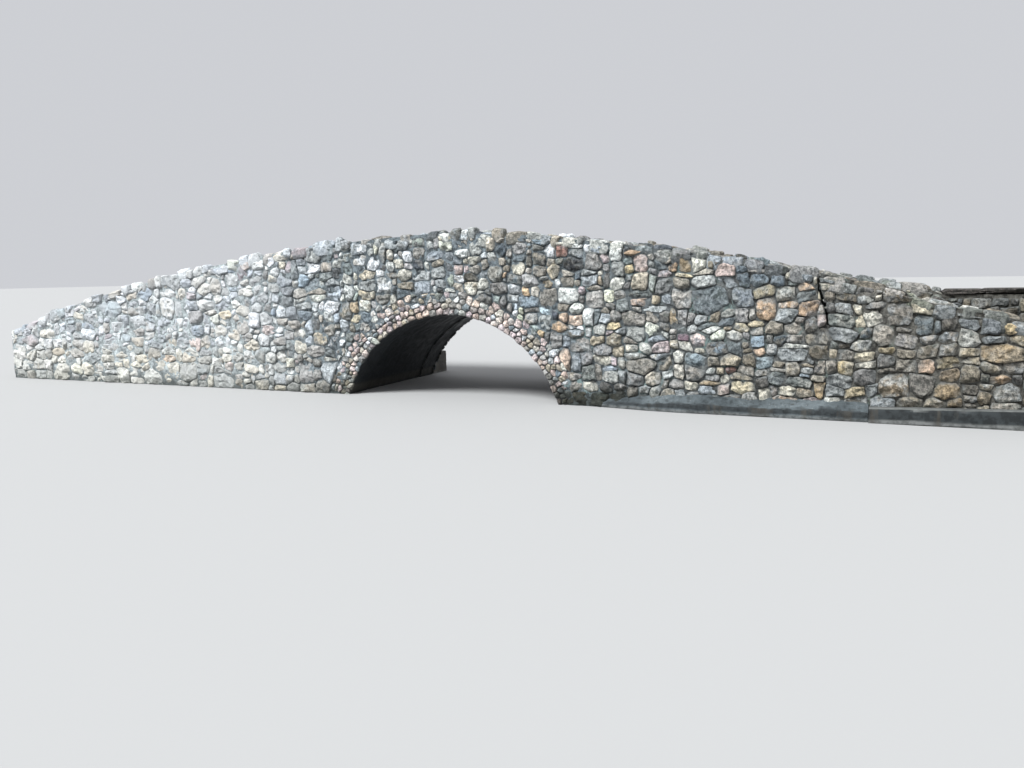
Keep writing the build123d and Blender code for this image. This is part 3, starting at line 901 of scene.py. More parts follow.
# Stones that stand out in the front wall: x, z, width, height in metres, tint
HEROES = [
    (-6.71, 1.07, 0.24, 0.19, "white"), (-4.65, 1.16, 0.27, 0.27, "cream"), (-4.12, 0.84, 0.25, 0.19, "blue"),
    (-3.25, 0.91, 0.23, 0.19, "tan"), (-3.42, 0.79, 0.22, 0.16, "tan"), (-3.16, 0.75, 0.2, 0.14, "tan"),
    (-3.1, 0.64, 0.27, 0.14, "cream"), (-4.56, 0.61, 0.18, 0.14, "gold"), (-2.19, 0.27, 0.25, 0.28, "taupe"),
    (-1.79, 0.29, 0.23, 0.25, "grey"), (-3.55, 0.34, 0.18, 0.13, "pink"), (-4.66, 0.4, 0.26, 0.09, "orange"),
    (-4.31, 0.23, 0.39, 0.24, "grey"), (-1.45, 1.37, 0.16, 0.23, "white"), (-1.36, 1.16, 0.14, 0.17, "ochre"),
    (0.34, 1.44, 0.19, 0.17, "cream"), (1.02, 1.66, 0.2, 0.15, "cream"), (1.54, 0.96, 0.23, 0.11, "orange"),
    (1.6, 1.08, 0.13, 0.11, "orange"), (1.76, 1.04, 0.15, 0.13, "peach"), (1.66, 1.35, 0.23, 0.18, "white"),
    (2.14, 1.33, 0.19, 0.16, "cream"), (2.52, 1.28, 0.27, 0.09, "orange"), (1.38, 1.3, 0.26, 0.24, "brown"),
    (1.62, 0.54, 0.14, 0.29, "peach"), (1.34, 0.97, 0.18, 0.19, "grey"), (1.5, 0.77, 0.21, 0.18, "brown"),
    (1.81, 0.72, 0.23, 0.19, "taupe"), (2.02, 0.79, 0.14, 0.12, "tan"), (2.24, 0.78, 0.16, 0.14, "tan"),
    (2.65, 0.93, 0.16, 0.14, "cream"), (2.24, 0.95, 0.16, 0.11, "gold"), (0.86, 1.04, 0.11, 0.1, "white"),
    (1.15, 0.67, 0.12, 0.11, "pink"), (1.69, 1.69, 0.23, 0.14, "black"), (1.56, 1.85, 0.15, 0.13, "red"),
    (2.42, 1.85, 0.22, 0.14, "orange"), (3.02, 0.87, 0.16, 0.09, "wine"), (3.18, 1.68, 0.17, 0.12, "white"),
    (3.3, 1.3, 0.38, 0.29, "slate"), (2.99, 1.3, 0.24, 0.25, "taupe"), (3.67, 1.29, 0.23, 0.24, "grey"),
    (3.92, 1.18, 0.21, 0.25, "orange"), (4.37, 1.155, 0.21, 0.15, "orange"), (4.36, 1.30, 0.20, 0.13, "slate"), (4.32, 1.4, 0.16, 0.11, "orange"),
    (4.55, 1.38, 0.22, 0.07, "cream"), (5.25, 1.09, 0.25, 0.23, "taupe"), (5.48, 1.02, 0.19, 0.19, "slate"),
    (5.73, 1.02, 0.16, 0.15, "umber"), (5, 1.08, 0.15, 0.21, "cream"), (6.29, 1.01, 0.17, 0.16, "gold"),
    (5.24, 1.3, 0.3, 0.13, "umber"), (5.91, 1.13, 0.23, 0.13, "grey"), (5.25, 0.38, 0.27, 0.27, "ochre"),
    (5.51, 0.39, 0.22, 0.27, "brown"), (6.2, 0.46, 0.18, 0.08, "orange"), (6.11, 0.57, 0.16, 0.1, "tan"),
    (6.32, 0.58, 0.16, 0.1, "tan"), (4.91, 0.81, 0.2, 0.1, "cream"), (4.96, 0.68, 0.17, 0.08, "cream"),
    (4.75, 0.71, 0.17, 0.11, "tan"), (5.16, 0.64, 0.17, 0.13, "brown"), (4.69, 0.44, 0.26, 0.13, "grey"),
    (4.96, 0.49, 0.23, 0.18, "taupe"), (3.69, 0.29, 0.33, 0.14, "gold"), (3.47, 0.25, 0.16, 0.11, "peach"),
    (4.37, 0.51, 0.1, 0.09, "white"), (-2.01, 1.71, 0.25, 0.13, "white"), (-0.16, 1.86, 0.22, 0.14, "grey"),
    (0.01, 1.97, 0.17, 0.12, "cream"), (-0.81, 1.73, 0.14, 0.16, "pale"), (-0.68, 1.77, 0.16, 0.12, "white"),
    (-0.52, 1.73, 0.13, 0.1, "peach"), (-0.11, 1.63, 0.24, 0.16, "grey"), (0.41, 1.67, 0.19, 0.11, "tan"),
    (0.79, 1.74, 0.13, 0.1, "taupe"), (0.84, 1.57, 0.08, 0.09, "orange"), (0.96, 1.52, 0.19, 0.13, "slate"),
    (1.16, 1.52, 0.18, 0.15, "taupe"), (0.48, 1.94, 0.23, 0.17, "grey"), (0.26, 1.89, 0.22, 0.11, "pale"),
    (-1.07, 1.77, 0.21, 0.2, "pale"), (-0.35, 1.43, 0.23, 0.18, "grey"), (0.75, 1.4, 0.24, 0.15, "brown"),
    (0.53, 1.47, 0.16, 0.16, "cream"), (1.09, 1.37, 0.11, 0.1, "orange"), (1.28, 1.64, 0.14, 0.13, "brown"),
    (1.48, 1.62, 0.15, 0.18, "tan"), (-1.35, 1.04, 0.14, 0.13, "gold"), (-0.62, 1.34, 0.18, 0.18, "slate"),
    (-1.2, 1.33, 0.22, 0.12, "tan"), (-0.91, 1.3, 0.23, 0.13, "brown"), (-1.96, 1.3, 0.26, 0.12, "cream"),
    (-1.93, 0.73, 0.23, 0.19, "tan"), (-2, 0.56, 0.28, 0.18, "taupe"), (-2.27, 0.65, 0.24, 0.2, "cream"),
    (-1.79, 0.87, 0.18, 0.18, "tan"), (1.66, 1.48, 0.15, 0.14, "taupe"), (1.97, 1.27, 0.25, 0.19, "taupe"),
    (2.34, 1.22, 0.17, 0.14, "slate"), (1.89, 1.5, 0.17, 0.13, "grey"), (2.24, 1.47, 0.17, 0.14, "white"),
    (2.51, 1.49, 0.2, 0.18, "tan"), (2.11, 1.06, 0.17, 0.12, "grey"), (1.76, 0.87, 0.2, 0.11, "grey"),
    (2.03, 0.91, 0.17, 0.11, "pale"), (2.48, 0.87, 0.2, 0.16, "grey"), (2.58, 0.72, 0.13, 0.11, "pale"),
    (2.44, 0.71, 0.16, 0.09, "cream"), (2.28, 0.65, 0.15, 0.11, "tan"), (2.08, 0.54, 0.22, 0.13, "cream"),
    (2.53, 0.52, 0.29, 0.16, "taupe"), (2.8, 0.52, 0.14, 0.14, "taupe"), (2.18, 0.36, 0.2, 0.14, "grey"),
    (2.46, 0.36, 0.16, 0.13, "brown"), (1.91, 0.38, 0.18, 0.17, "slate"), (2.76, 0.72, 0.16, 0.14, "pink"),
    (3.06, 0.74, 0.21, 0.14, "cream"), (3.21, 0.84, 0.18, 0.18, "peach"), (3.41, 0.88, 0.17, 0.11, "cream"),
    (3.39, 0.73, 0.22, 0.18, "slate"), (3.17, 0.58, 0.27, 0.16, "blue"), (3.53, 0.61, 0.22, 0.15, "tan"),
    (3.76, 0.62, 0.16, 0.16, "umber"), (3.93, 0.6, 0.17, 0.14, "blue"), (4.22, 0.67, 0.27, 0.16, "grey"),
    (4.48, 0.71, 0.2, 0.13, "brown"), (4.74, 0.9, 0.26, 0.17, "grey"), (4.41, 0.85, 0.12, 0.11, "tan"),
    (3.84, 0.94, 0.15, 0.08, "tan"), (3.85, 0.82, 0.19, 0.13, "blue"), (3.87, 0.72, 0.15, 0.07, "orange"),
    (4.1, 0.84, 0.17, 0.1, "slate"), (3.6, 0.87, 0.17, 0.11, "cream"), (3.66, 0.97, 0.17, 0.1, "gold"),
    (3.52, 1.03, 0.18, 0.1, "slate"), (3.25, 1.07, 0.16, 0.11, "grey"), (3.39, 1.08, 0.13, 0.09, "brown"),
    (4.18, 1.2, 0.19, 0.09, "orange"), (4.16, 1.1, 0.19, 0.13, "grey"), (3.86, 1.49, 0.2, 0.14, "slate"),
    (4.05, 1.48, 0.16, 0.13, "slate"), (4.22, 1.45, 0.1, 0.08, "slate"), (3.52, 1.48, 0.22, 0.15, "grey"),
    (3.23, 1.5, 0.25, 0.15, "pale"), (2.99, 1.47, 0.15, 0.15, "tan"), (2.8, 1.44, 0.21, 0.19, "taupe"),
    (2.84, 1.75, 0.15, 0.1, "grey"), (2.92, 1.65, 0.09, 0.09, "orange"), (2.75, 1.67, 0.14, 0.09, "slate"),
    (2.09, 1.76, 0.13, 0.13, "pink"), (1.95, 1.72, 0.2, 0.19, "taupe"), (2.36, 1.74, 0.11, 0.09, "green"),
    (2.37, 1.62, 0.13, 0.1, "gold"), (4.75, 1.44, 0.22, 0.19, "grey"), (4.74, 1.19, 0.18, 0.15, "grey"),
    (4.95, 1.3, 0.14, 0.1, "grey"), (3.29, 0.26, 0.2, 0.1, "pale"), (3.11, 0.29, 0.17, 0.1, "cream"),
    (3.53, 0.49, 0.13, 0.11, "red"), (3.72, 0.5, 0.2, 0.13, "taupe"), (3.32, 0.47, 0.13, 0.09, "pale"),
    (3.15, 0.44, 0.23, 0.17, "taupe"), (2.97, 0.44, 0.16, 0.17, "tan"), (4.3, 0.36, 0.21, 0.11, "slate"),
    (3.9, 0.35, 0.17, 0.13, "umber"), (4.09, 0.39, 0.17, 0.16, "slate"), (-5.83, 1.13, 0.5, 0.25, "blue"),
    (-5.38, 1.45, 0.24, 0.14, "pale"), (-5.07, 1.35, 0.4, 0.15, "blue"), (-4.84, 1.53, 0.26, 0.19, "slate"),
    (-4.49, 1.53, 0.27, 0.18, "grey"), (-4.28, 1.53, 0.23, 0.15, "pale"), (-4.04, 1.68, 0.15, 0.13, "white"),
    (-3.85, 1.67, 0.18, 0.13, "white"), (-4.03, 1.55, 0.26, 0.14, "cream"), (-4.97, 1.13, 0.2, 0.18, "grey"),
    (-4.37, 1.35, 0.23, 0.16, "cream"), (-3.89, 1.22, 0.3, 0.17, "pale"), (-3.7, 1.31, 0.16, 0.11, "cream"),
    (-3.93, 1.44, 0.26, 0.13, "cream"), (-3.38, 1.22, 0.25, 0.13, "cream"), (-3.21, 1.36, 0.25, 0.14, "white"),
    (-3.18, 1.52, 0.18, 0.11, "cream"), (-3.42, 1.58, 0.25, 0.2, "pale"), (-3.24, 1.66, 0.18, 0.15, "wine"),
    (-3.65, 1.71, 0.2, 0.11, "grey"), (-3.02, 1.54, 0.24, 0.14, "grey"), (-5.29, 0.93, 0.3, 0.18, "pale"),
    (-5.03, 0.74, 0.2, 0.11, "cream"), (-4.75, 0.97, 0.27, 0.12, "pale"), (-4.83, 0.69, 0.24, 0.14, "blue"),
    (-5.26, 0.66, 0.28, 0.15, "tan"), (-5.5, 0.68, 0.21, 0.12, "blue"), (-5.82, 0.61, 0.5, 0.19, "pale"),
    (-6.29, 0.73, 0.3, 0.17, "pale"), (-6.4, 1.17, 0.35, 0.22, "pale"), (-7.03, 1.01, 0.31, 0.16, "pale"),
    (-7.61, 0.6, 0.37, 0.16, "pink"), (-8.05, 0.66, 0.24, 0.2, "gold"), (-7.22, 0.73, 0.32, 0.18, "cream"),
    (-6.99, 0.45, 0.23, 0.13, "tan"), (-6.59, 0.41, 0.35, 0.14, "taupe"), (-5.61, 0.43, 0.29, 0.12, "cream"),
    (-5.2, 0.37, 0.28, 0.14, "cream"), (-4.89, 0.28, 0.28, 0.14, "cream"), (-4.58, 0.26, 0.23, 0.18, "cream"),
    (-4, 0.5, 0.26, 0.12, "grey"), (-3.71, 0.64, 0.17, 0.15, "pale"), (-3.68, 0.82, 0.22, 0.17, "cream"),
    (-3.79, 0.99, 0.19, 0.12, "cream"), (-3.59, 1.06, 0.22, 0.13, "gold"), (-3.24, 1.12, 0.25, 0.13, "cream"),
    (-2.79, 0.46, 0.19, 0.13, "pale"), (-2.62, 0.69, 0.21, 0.11, "taupe"), (-2.82, 0.87, 0.24, 0.14, "pink"),
    (-3.16, 0.28, 0.25, 0.12, "cream"), (-3.36, 0.46, 0.22, 0.15, "grey"), (-3.8, 0.37, 0.17, 0.13, "pale"),
    (-4.06, 0.25, 0.27, 0.15, "slate"), (-4.29, 0.42, 0.23, 0.1, "tan"), (-6.23, 0.34, 0.35, 0.14, "blue"),
    (-5.69, 0.86, 0.25, 0.15, "pale"), (-6.68, 0.81, 0.22, 0.13, "grey"), (-2.95, 1.74, 0.21, 0.12, "cream"),
    (-2.74, 1.8, 0.21, 0.15, "white"), (-2.51, 1.9, 0.27, 0.18, "cream"), (-3.16, 1.78, 0.16, 0.11, "peach"),
    (-3.39, 1.82, 0.21, 0.14, "blue"), (-4.06, 1.81, 0.22, 0.11, "grey"), (-5.35, 1.34, 0.22, 0.12, "tan"),
    (-5.6, 1.28, 0.25, 0.12, "pale"), (-2.5, 1.55, 0.24, 0.16, "grey"), (-2.66, 1.66, 0.24, 0.14, "pale"),
    (-2.47, 1.28, 0.24, 0.14, "slate"), (-2.91, 1.28, 0.21, 0.14, "grey"), (-2.69, 1.44, 0.21, 0.12, "grey"),
    (-2.57, 0.97, 0.17, 0.13, "tan"), (-2.46, 0.79, 0.2, 0.14, "taupe"),
]


def mortar_bed(name, face, a0, a1, crest, low, step, seed, flip=False, arch=True, crack=False, gap=.02):
    """The mortar between the stones: uneven, here flush and there raked out."""
    na, nb = int(round((a1 - a0) / step)), int(round(1.5 / step))
    a = np.linspace(a0, a1, na + 1)
    x = -a if flip else a
    t = np.linspace(0, 1, nb + 1)
    lo = np.array([low(c) for c in x])
    hi = on_line(crest, x) - gap
    A = np.repeat(a[None], nb + 1, 0)
    B = lo[None] + (hi - lo)[None] * t[:, None]
    q = np.column_stack([A.ravel(), B.ravel(), np.full(A.size, seed * 1.7)])
    full = np.interp(x, [-8, -2.5, -1.5, 1.2, 2.6, 8], [.014, .014, .0135, .0135, .010, .006])[None].repeat(nb + 1, 0).ravel()
    n = full + noise3(q, 1.6, seed) * .010 + noise3(q, 7.0, seed + 1) * .009 + noise3(q, 19.0, seed + 2) * .007
    n = np.clip(n, .0025, .042)
    keep = np.ones((nb, na), bool)
    ac, bc = (A[:-1, :-1] + A[1:, 1:]) / 2, (B[:-1, :-1] + B[1:, 1:]) / 2
    if arch:
        keep &= np.hypot(ac, bc - ARCH_ZC) > RING_R - .16
    if crack:
        xc = np.interp(-bc, [-p[1] for p in CRACK], [p[0] for p in CRACK])
        keep &= ~((bc > 1.0) & (np.abs(ac - xc) < step * .75))
    i = (np.arange(nb + 1)[:, None] * (na + 1) + np.arange(na + 1)[None])
    quads = np.stack([i[:-1, :-1], i[:-1, 1:], i[1:, 1:], i[1:, :-1]], -1)[keep]
    bag = Bag()
    at = np.column_stack([np.full(A.size, .2), np.zeros(A.size), np.zeros(A.size)])
    bag.add(FACES[face](A.ravel(), B.ravel(), n), quads, [], np.array([.2, .2, .2]), at)
    return bag


def at_crack(x, z, pitch):
    return z > .76 and abs(x - float(np.interp(-z, [-p[1] for p in CRACK], [p[0] for p in CRACK]))) < pitch / 2


def stand(rng):
    """How far a stone stands out of its bed: some nearly flush, some proud."""
    t = rng.random()
    return rng.uniform(.014, .026) if t < .16 else rng.uniform(.026, .046) if t < .80 else rng.uniform(.046, .066)


def front_wall():
    rng = random.Random(11)
    low = lambda x: 0.0
    fixed = [(h[0] - h[2] / 2, h[0] + h[2] / 2, h[1] - h[3] / 2, h[1] + h[3] / 2) for h in HEROES]
    stones = lay(-END, END, front_sizes, rng, CREST_FRONT, low, BED, make_cut(CREST_FRONT, low, BED, -END, END, crack=True),
                 fixed=fixed, stop=at_crack)
    bags = {"left": Bag(), "centre": Bag(), "right": Bag()}
    for poly, hero in stones:
        cx, cz = centre_of(poly)
        rad = math.sqrt(area_of(poly) / math.pi)
        # hero tones lifted by x like wall_tint: painted skylight on the left, painted shade towards the right end
        col = wall_tint(cx, cz, rng) if hero is None else tone(HEROES[hero][4], rng, float(np.interp(cx, [-4, -1, 0, 2, 4.2, 4.8, 7], [1.17, 1.23, 1.22, 1.20, 1.13, 1.03, .93])))
        high = (stand(rng) + rad * .12) * float(np.interp(cx, [-3.2, -2.2], [.80, 1]))
        bag = bags["left" if cx < -2.4 else "centre" if cx < 2.6 else "right"]
        wear = max(0.0, min(1.0, .25 + .5 * noise1(cx * 1.3, 5) + (.3 if 1.2 < cx < 5 and cz > .9 else 0)))
        face_stone(bag, poly, FACES["front"], high, col, rng, wear, cut=rng.uniform(.004, .013), col2=stain_for(col, cx, rng))
    return bags


def plain_wall(face, crest, low, seed, flip, arch, lo_a=-END, hi_a=END, high_gap=BED):
    rng = random.Random(seed)
    cut = make_cut(crest, low, high_gap, lo_a, hi_a, arch, False, flip)
    stones = lay(lo_a, hi_a, lambda a, b: (7.6, 5.8, .35), rng, crest, low, high_gap, cut, arch, flip, seed=seed)
    bag = Bag()
    for poly, _ in stones:
        cx, cz = centre_of(poly)
        rad = math.sqrt(area_of(poly) / math.pi)
        x = -cx if flip else cx
        # the back wall's inner stones past x 5.2 are darkened to half: weathering and painted shade
        col = wall_tint(x, cz, rng) * (float(np.interp(x, [5.2, 5.8], [1, .50])) if face == "back_in" else 1)
        face_stone(bag, poly, FACES[face], stand(rng) + rad * .12, col, rng, rng.uniform(0, .6), light="plain", col2=stain_for(col, x, rng))
    return bag


def ring(face, seed):
    """Cobbles round the arch: a is the arc length from the crown, b the distance out from the opening."""
    rng = random.Random(seed)
    half = math.acos(-ARCH_ZC / 1.74) * 1.74

    def place(a, b, n):
        r = ARCH_R + b
        t = a / 1.74
        x, z = r * np.sin(t), ARCH_ZC + r * np.cos(t)
        return FACES[face](x, z, n)

    seeds = []
    rows = ((.035, .105), (.110, .100), (.182, .104), (.255, .108), (.328, .112))
    for r, (b, step) in enumerate(rows):
        a = -half + rng.uniform(0, .06)
        while a < half:
            k = float(np.interp(abs(a), [0, .7, 1.5, 2.6], [1.0, .92, .78, .74]))
            w = step * k * rng.uniform(.7, 1.3)
            bb = b * (.55 + .45 * k) * rng.uniform(.92, 1.08) + rng.uniform(-.016, .016)
            aa = a + w / 2
            if bb < float(ring_reach(aa / 1.74)[0]) - ARCH_R - .01:
                h = .072 * k * rng.uniform(.75, 1.2)
                seeds.append((aa - w * .42, aa + w * .42, bb - h / 2, bb + h / 2, None))
            a += w
    # and small ones to fill where the flanks' rows have closed up
    for _ in range(900):
        aa = rng.uniform(-half, half)
        bb = rng.uniform(.02, .40)
        if bb > float(ring_reach(aa / 1.74)[0]) - ARCH_R - .015:
            continue
        if all(abs(aa - (q[0] + q[1]) / 2) > (q[1] - q[0]) * .5 + .032 or abs(bb - (q[2] + q[3]) / 2) > (q[3] - q[2]) * .5 + .030 for q in seeds):
            w, h = rng.uniform(.045, .07), rng.uniform(.04, .06)
            seeds.append((aa - w / 2, aa + w / 2, bb - h / 2, bb + h / 2, None))
    bag = Bag()
    for poly, _ in settle(seeds, rng, (.003, .011), .03, .35, lambda a: .95):
        q = np.column_stack([np.array(poly), np.full(len(poly), seed * 3.1)])
        poly = [(x + a * .012, z + b * .010) for (x, z), a, b in zip(poly, noise3(q, 7, 61), noise3(q, 7, 62))]
        # the front cobbles stop about flush with the opening, the back ones stand a little into it
        inner = .006 * math.sin(23 * poly[0][0]) + (.002 if face == "front" else .024)
        for nx, ny, lim in ((1, 0, half - .012), (-1, 0, half - .012), (0, -1, inner)):
            poly = clip(poly, nx, ny, lim) if poly else poly
        if len(poly) < 3 or area_of(poly) < 5e-4:
            continue
        rad = math.sqrt(area_of(poly) / math.pi)
        high = (rng.uniform(.018, .036) if face == "front" else rng.uniform(.010, .018)) + rad * .2
        col = tone(pick(RING_MIX, rng), rng, 1.34)
        face_stone(bag, poly, place, high, col, rng, .1, cut=.004, light=True, rough=1.25, tilt=.38, col2=stain_for(col, 0, rng))
    return bag


def crest_row(crest, y0, y1, seed, x0=-END, x1=END, gaps=(), n=5):
    """Rough stones along the top of a wall, three across its thickness and laid without lining up."""
    rng = random.Random(seed)
    bag = Bag()
    wide = (y1 - y0) / 3
    for row in range(3):
        yc = y0 + wide * (row + .5)
        outer = row != 1
        x = x0 + (rng.uniform(-.03, .0) if outer else 0)
        while x < x1 - .04:
            t = rng.random()
            length = rng.uniform(.09, .15) if t < .30 else rng.uniform(.15, .23) if t < .80 else rng.uniform(.23, .34)
            if x > 4.5:
                length = min(.36, length * 1.3)
            for g0 in gaps:
                if x < g0 - .02 < x + length + .10:
                    length = g0 - .012 - x
                elif abs(x - g0) <= .021:
                    x = g0 + .022
            if x1 - (x + length) < .07:
                length = x1 - x
            xm = x + length / 2
            s = slope_of(crest, xm)
            high = rng.uniform(.11, .17) + .12 * (length - .15)
            lift = rng.uniform(-.045, .028) + (.030 if rng.random() < .25 else 0) - (.012 if row == 1 else 0)
            high += max(0.0, lift) * 1.3
            top = min(on_line(crest, xm) + .030 + lift, 2.176)
            deep = wide * rng.uniform(1.1, 1.35)
            proud = rng.uniform(.018, .048) if outer else 0
            y = yc + (-proud if (row == 0) else proud if row == 2 else 0)
            # tone lifted by x: painted skylight over the left and middle, painted shade at the right end
            col = tone(pick(CREST_MIX if xm > -2.2 or rng.random() < .08 else LEFT_MIX, rng), rng, float(np.interp(xm, [-8, -2, 2, 5, 7], [1.12, 1.18, 1.18, 1.10, .98])))
            boulder(bag, (xm, y, top - high / 2), (length * 1.005, deep, high), col, rng, turn=rng.uniform(-.16, .16),
                    lean=-math.atan(s) * rng.uniform(.7, 1.0) + rng.uniform(-.07, .07), wear=rng.uniform(.1, .6), power=rng.uniform(3.4, 6.5),
                    cuts=rng.choice((3, 4, 5, 6)), n=n, rough=1.6, col2=stain_for(col, xm, rng))
            x += length
    return bag


def end_face(face, y0, y1, x, crest, seed):
    rng = random.Random(seed)
    top = float(on_line(crest, x)) - .1
    sign = -1 if face == "left_end" else 1
    lo, hi = sorted((y0 * sign, y1 * sign))

    def cut(poly, a, b):
        for nx, ny, d in ((1, 0, hi), (-1, 0, -lo), (0, 1, top), (0, -1, 0)):
            poly = clip(poly, nx, ny, d) if poly else poly
        return poly

    bag = Bag()
    for poly, _ in settle(pack(lo, hi, top, lambda a, b: (7.0, 5.4, .4), rng), rng):
        poly = cut(poly, 0, 0)
        if len(poly) < 3 or area_of(poly) < 9e-4:
            continue
        face_stone(bag, poly, FACES[face], rng.uniform(.02, .04), wall_tint(x, centre_of(poly)[1], rng), rng, .3, light=True)
    return bag


def loft(bag, rows, col, wear=0.0):
    """A closed skin through rows of points, with its ends closed."""
    rows = np.array(rows)
    k, n = rows.shape[:2]
    i = np.arange(n)
    j = (i + 1) % n
    quads = np.concatenate([np.stack([r * n + i, r * n + j, (r + 1) * n + j, (r + 1) * n + i], 1) for r in range(k - 1)])
    a, b = k * n, k * n + 1
    tris = np.concatenate([np.stack([j, i, np.full(n, a)], 1), np.stack([(k - 1) * n + i, (k - 1) * n + j, np.full(n, b)], 1)])
    v = np.vstack([rows.reshape(-1, 3), rows[0].mean(0), rows[-1].mean(0)])
    at = np.column_stack([np.ones(len(v)), np.zeros(len(v)), np.full(len(v), wear)])
    bag.add(v, quads, tris, col, at)


def resample(pts, n):
    """n points evenly along a closed outline."""
    p = np.array(pts + [pts[0]])
    d = np.append(0, np.cumsum(np.hypot(*(p[1:] - p[:-1]).T)))
    t = np.linspace(0, d[-1], n, endpoint=False)
    return np.column_stack([np.interp(t, d, p[:, 0]), np.interp(t, d, p[:, 1])])


def toe():
    """The rough concrete toe: cast against the stones, its top edge uneven and its left end running out."""
    rows = []
    tops = [(2.0, .055), (2.15, .10), (2.3, .125), (2.55, .155), (3.0, .195), (3.25, .20), (3.6, .185), (3.9, .175), (4.3, .205), (4.75, .20), (5.0, .185)]
    outs = [(2.0, .035), (2.3, .085), (2.65, .150), (3.0, .178), (5.0, .180)]
    for x in np.arange(2.0, 5.0001, .02):
        top, out = on_line(tops, x), on_line(outs, x)
        sec = resample([(.02, .001), (-out + .004, .001), (-out, .02), (-out - .001, top * .40), (-out + .004, top * .52), (-out * .86, top * .66),
                        (-out * .60, top * .82), (-out * .30, top * .95), (0, top), (.02, top)], 40)
        y, z = sec[:, 0], sec[:, 1]
        q = np.column_stack([np.full(40, x), y, z])
        rough = .35 + .65 * np.clip((z - top * .45) / .05, 0, 1)
        inner = (y > .005) | (z < .004)
        n = (noise3(q, 7.0, 91) * .012 + noise3(q, 21.0, 92) * .008 + noise3(q, 46.0, 93) * .005) * rough
        n = np.where(inner, 0, n)
        rows.append(np.column_stack([np.full(40, x), Y_FRONT + y - n * .7, np.maximum(z + n * .8, .001)]))
    bag = Bag()
    loft(bag, rows, lin(120, 120, 118))
    return bag


def kerb():
    rows = []
    for x in np.append(np.arange(5.004, 8.04, .03), END):
        top = .16 + .075 * (x - 5) / 3.05
        sec = resample([(.02, .001), (-.216, .001), (-.220, .02), (-.220, top - .022), (-.215, top - .008), (-.204, top), (-.085, top - .002), (-.07, top - .008),
                        (-.066, top - .03), (0, top - .032), (.02, top - .032)], 36)
        y, z = sec[:, 0], sec[:, 1]
        q = np.column_stack([np.full(36, x), y, z])
        edge = np.exp(-((y + .215) ** 2 + (z - top) ** 2) / .0006)
        n = noise3(q, 9.0, 95) * .004 + noise3(q, 30.0, 96) * .0025 - edge * np.clip(noise3(q, 14.0, 97), 0, 1) * .016
        n = np.where((y > .005) | (z < .004), 0, n)
        rows.append(np.column_stack([np.full(36, x), Y_FRONT + y - n, np.maximum(z + n * .6, .001)]))
    bag = Bag()
    loft(bag, rows, lin(96, 96, 95))
    return bag


def channel(node):
    """A low concrete wall that runs on from the arch: worn arrises and a board-marked, uneven face."""
    lo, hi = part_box(node)
    rows = []
    for y in np.linspace(lo[1], hi[1], 60):
        sec = resample([(lo[0], .001), (hi[0], .001), (hi[0], hi[2] - .022), (hi[0] - .007, hi[2] - .007), (hi[0] - .022, hi[2]), (lo[0] + .022, hi[2]),
                        (lo[0] + .007, hi[2] - .007), (lo[0], hi[2] - .022)], 64)
        x, z = sec[:, 0], sec[:, 1]
        q = np.column_stack([x, np.full(64, y), z])
        side = np.where(x < (lo[0] + hi[0]) / 2, 1.0, -1.0)
        edge = np.clip((z - hi[2] + .04) / .04, 0, 1) * np.clip(noise3(q, 11.0, 99), 0, 1)
        n = np.abs(noise3(q, 4.0, 98)) * .007 + np.abs(noise3(q, 17.0, 94)) * .004 + edge * .010 + (np.abs((z * 6.5) % 1 - .5) > .47) * .003
        n = np.where(z < .004, 0, n)
        rows.append(np.column_stack([x + side * n, np.full(64, y), np.where(z > hi[2] - .004, z - n * .8, z)]))
    bag = Bag()
    loft(bag, rows, lin(96, 92, 84))
    return bag


def caps():
    """Flat rough slabs on the level stretch of the back wall."""
    rng = random.Random(61)
    bag = Bag()
    x = 5.80
    for length in (.46, .62, .50, .68):
        length = min(length, END - x)
        high = rng.uniform(.062, .082)
        k = rng.uniform(.82, 1.15)
        col = lin(94 * k, 90 * k, 87 * k)
        boulder(bag, (x + length / 2, -.15 + .975, 1.27 + high / 2 - .004), (length - .008, .47, high), col, rng, turn=rng.uniform(-.03, .03),
                lean=rng.uniform(-.015, .015), wear=.1, power=9, cuts=4, rough=.55, n=8, col2=lin(74, 70, 66))
        x += length
    return bag


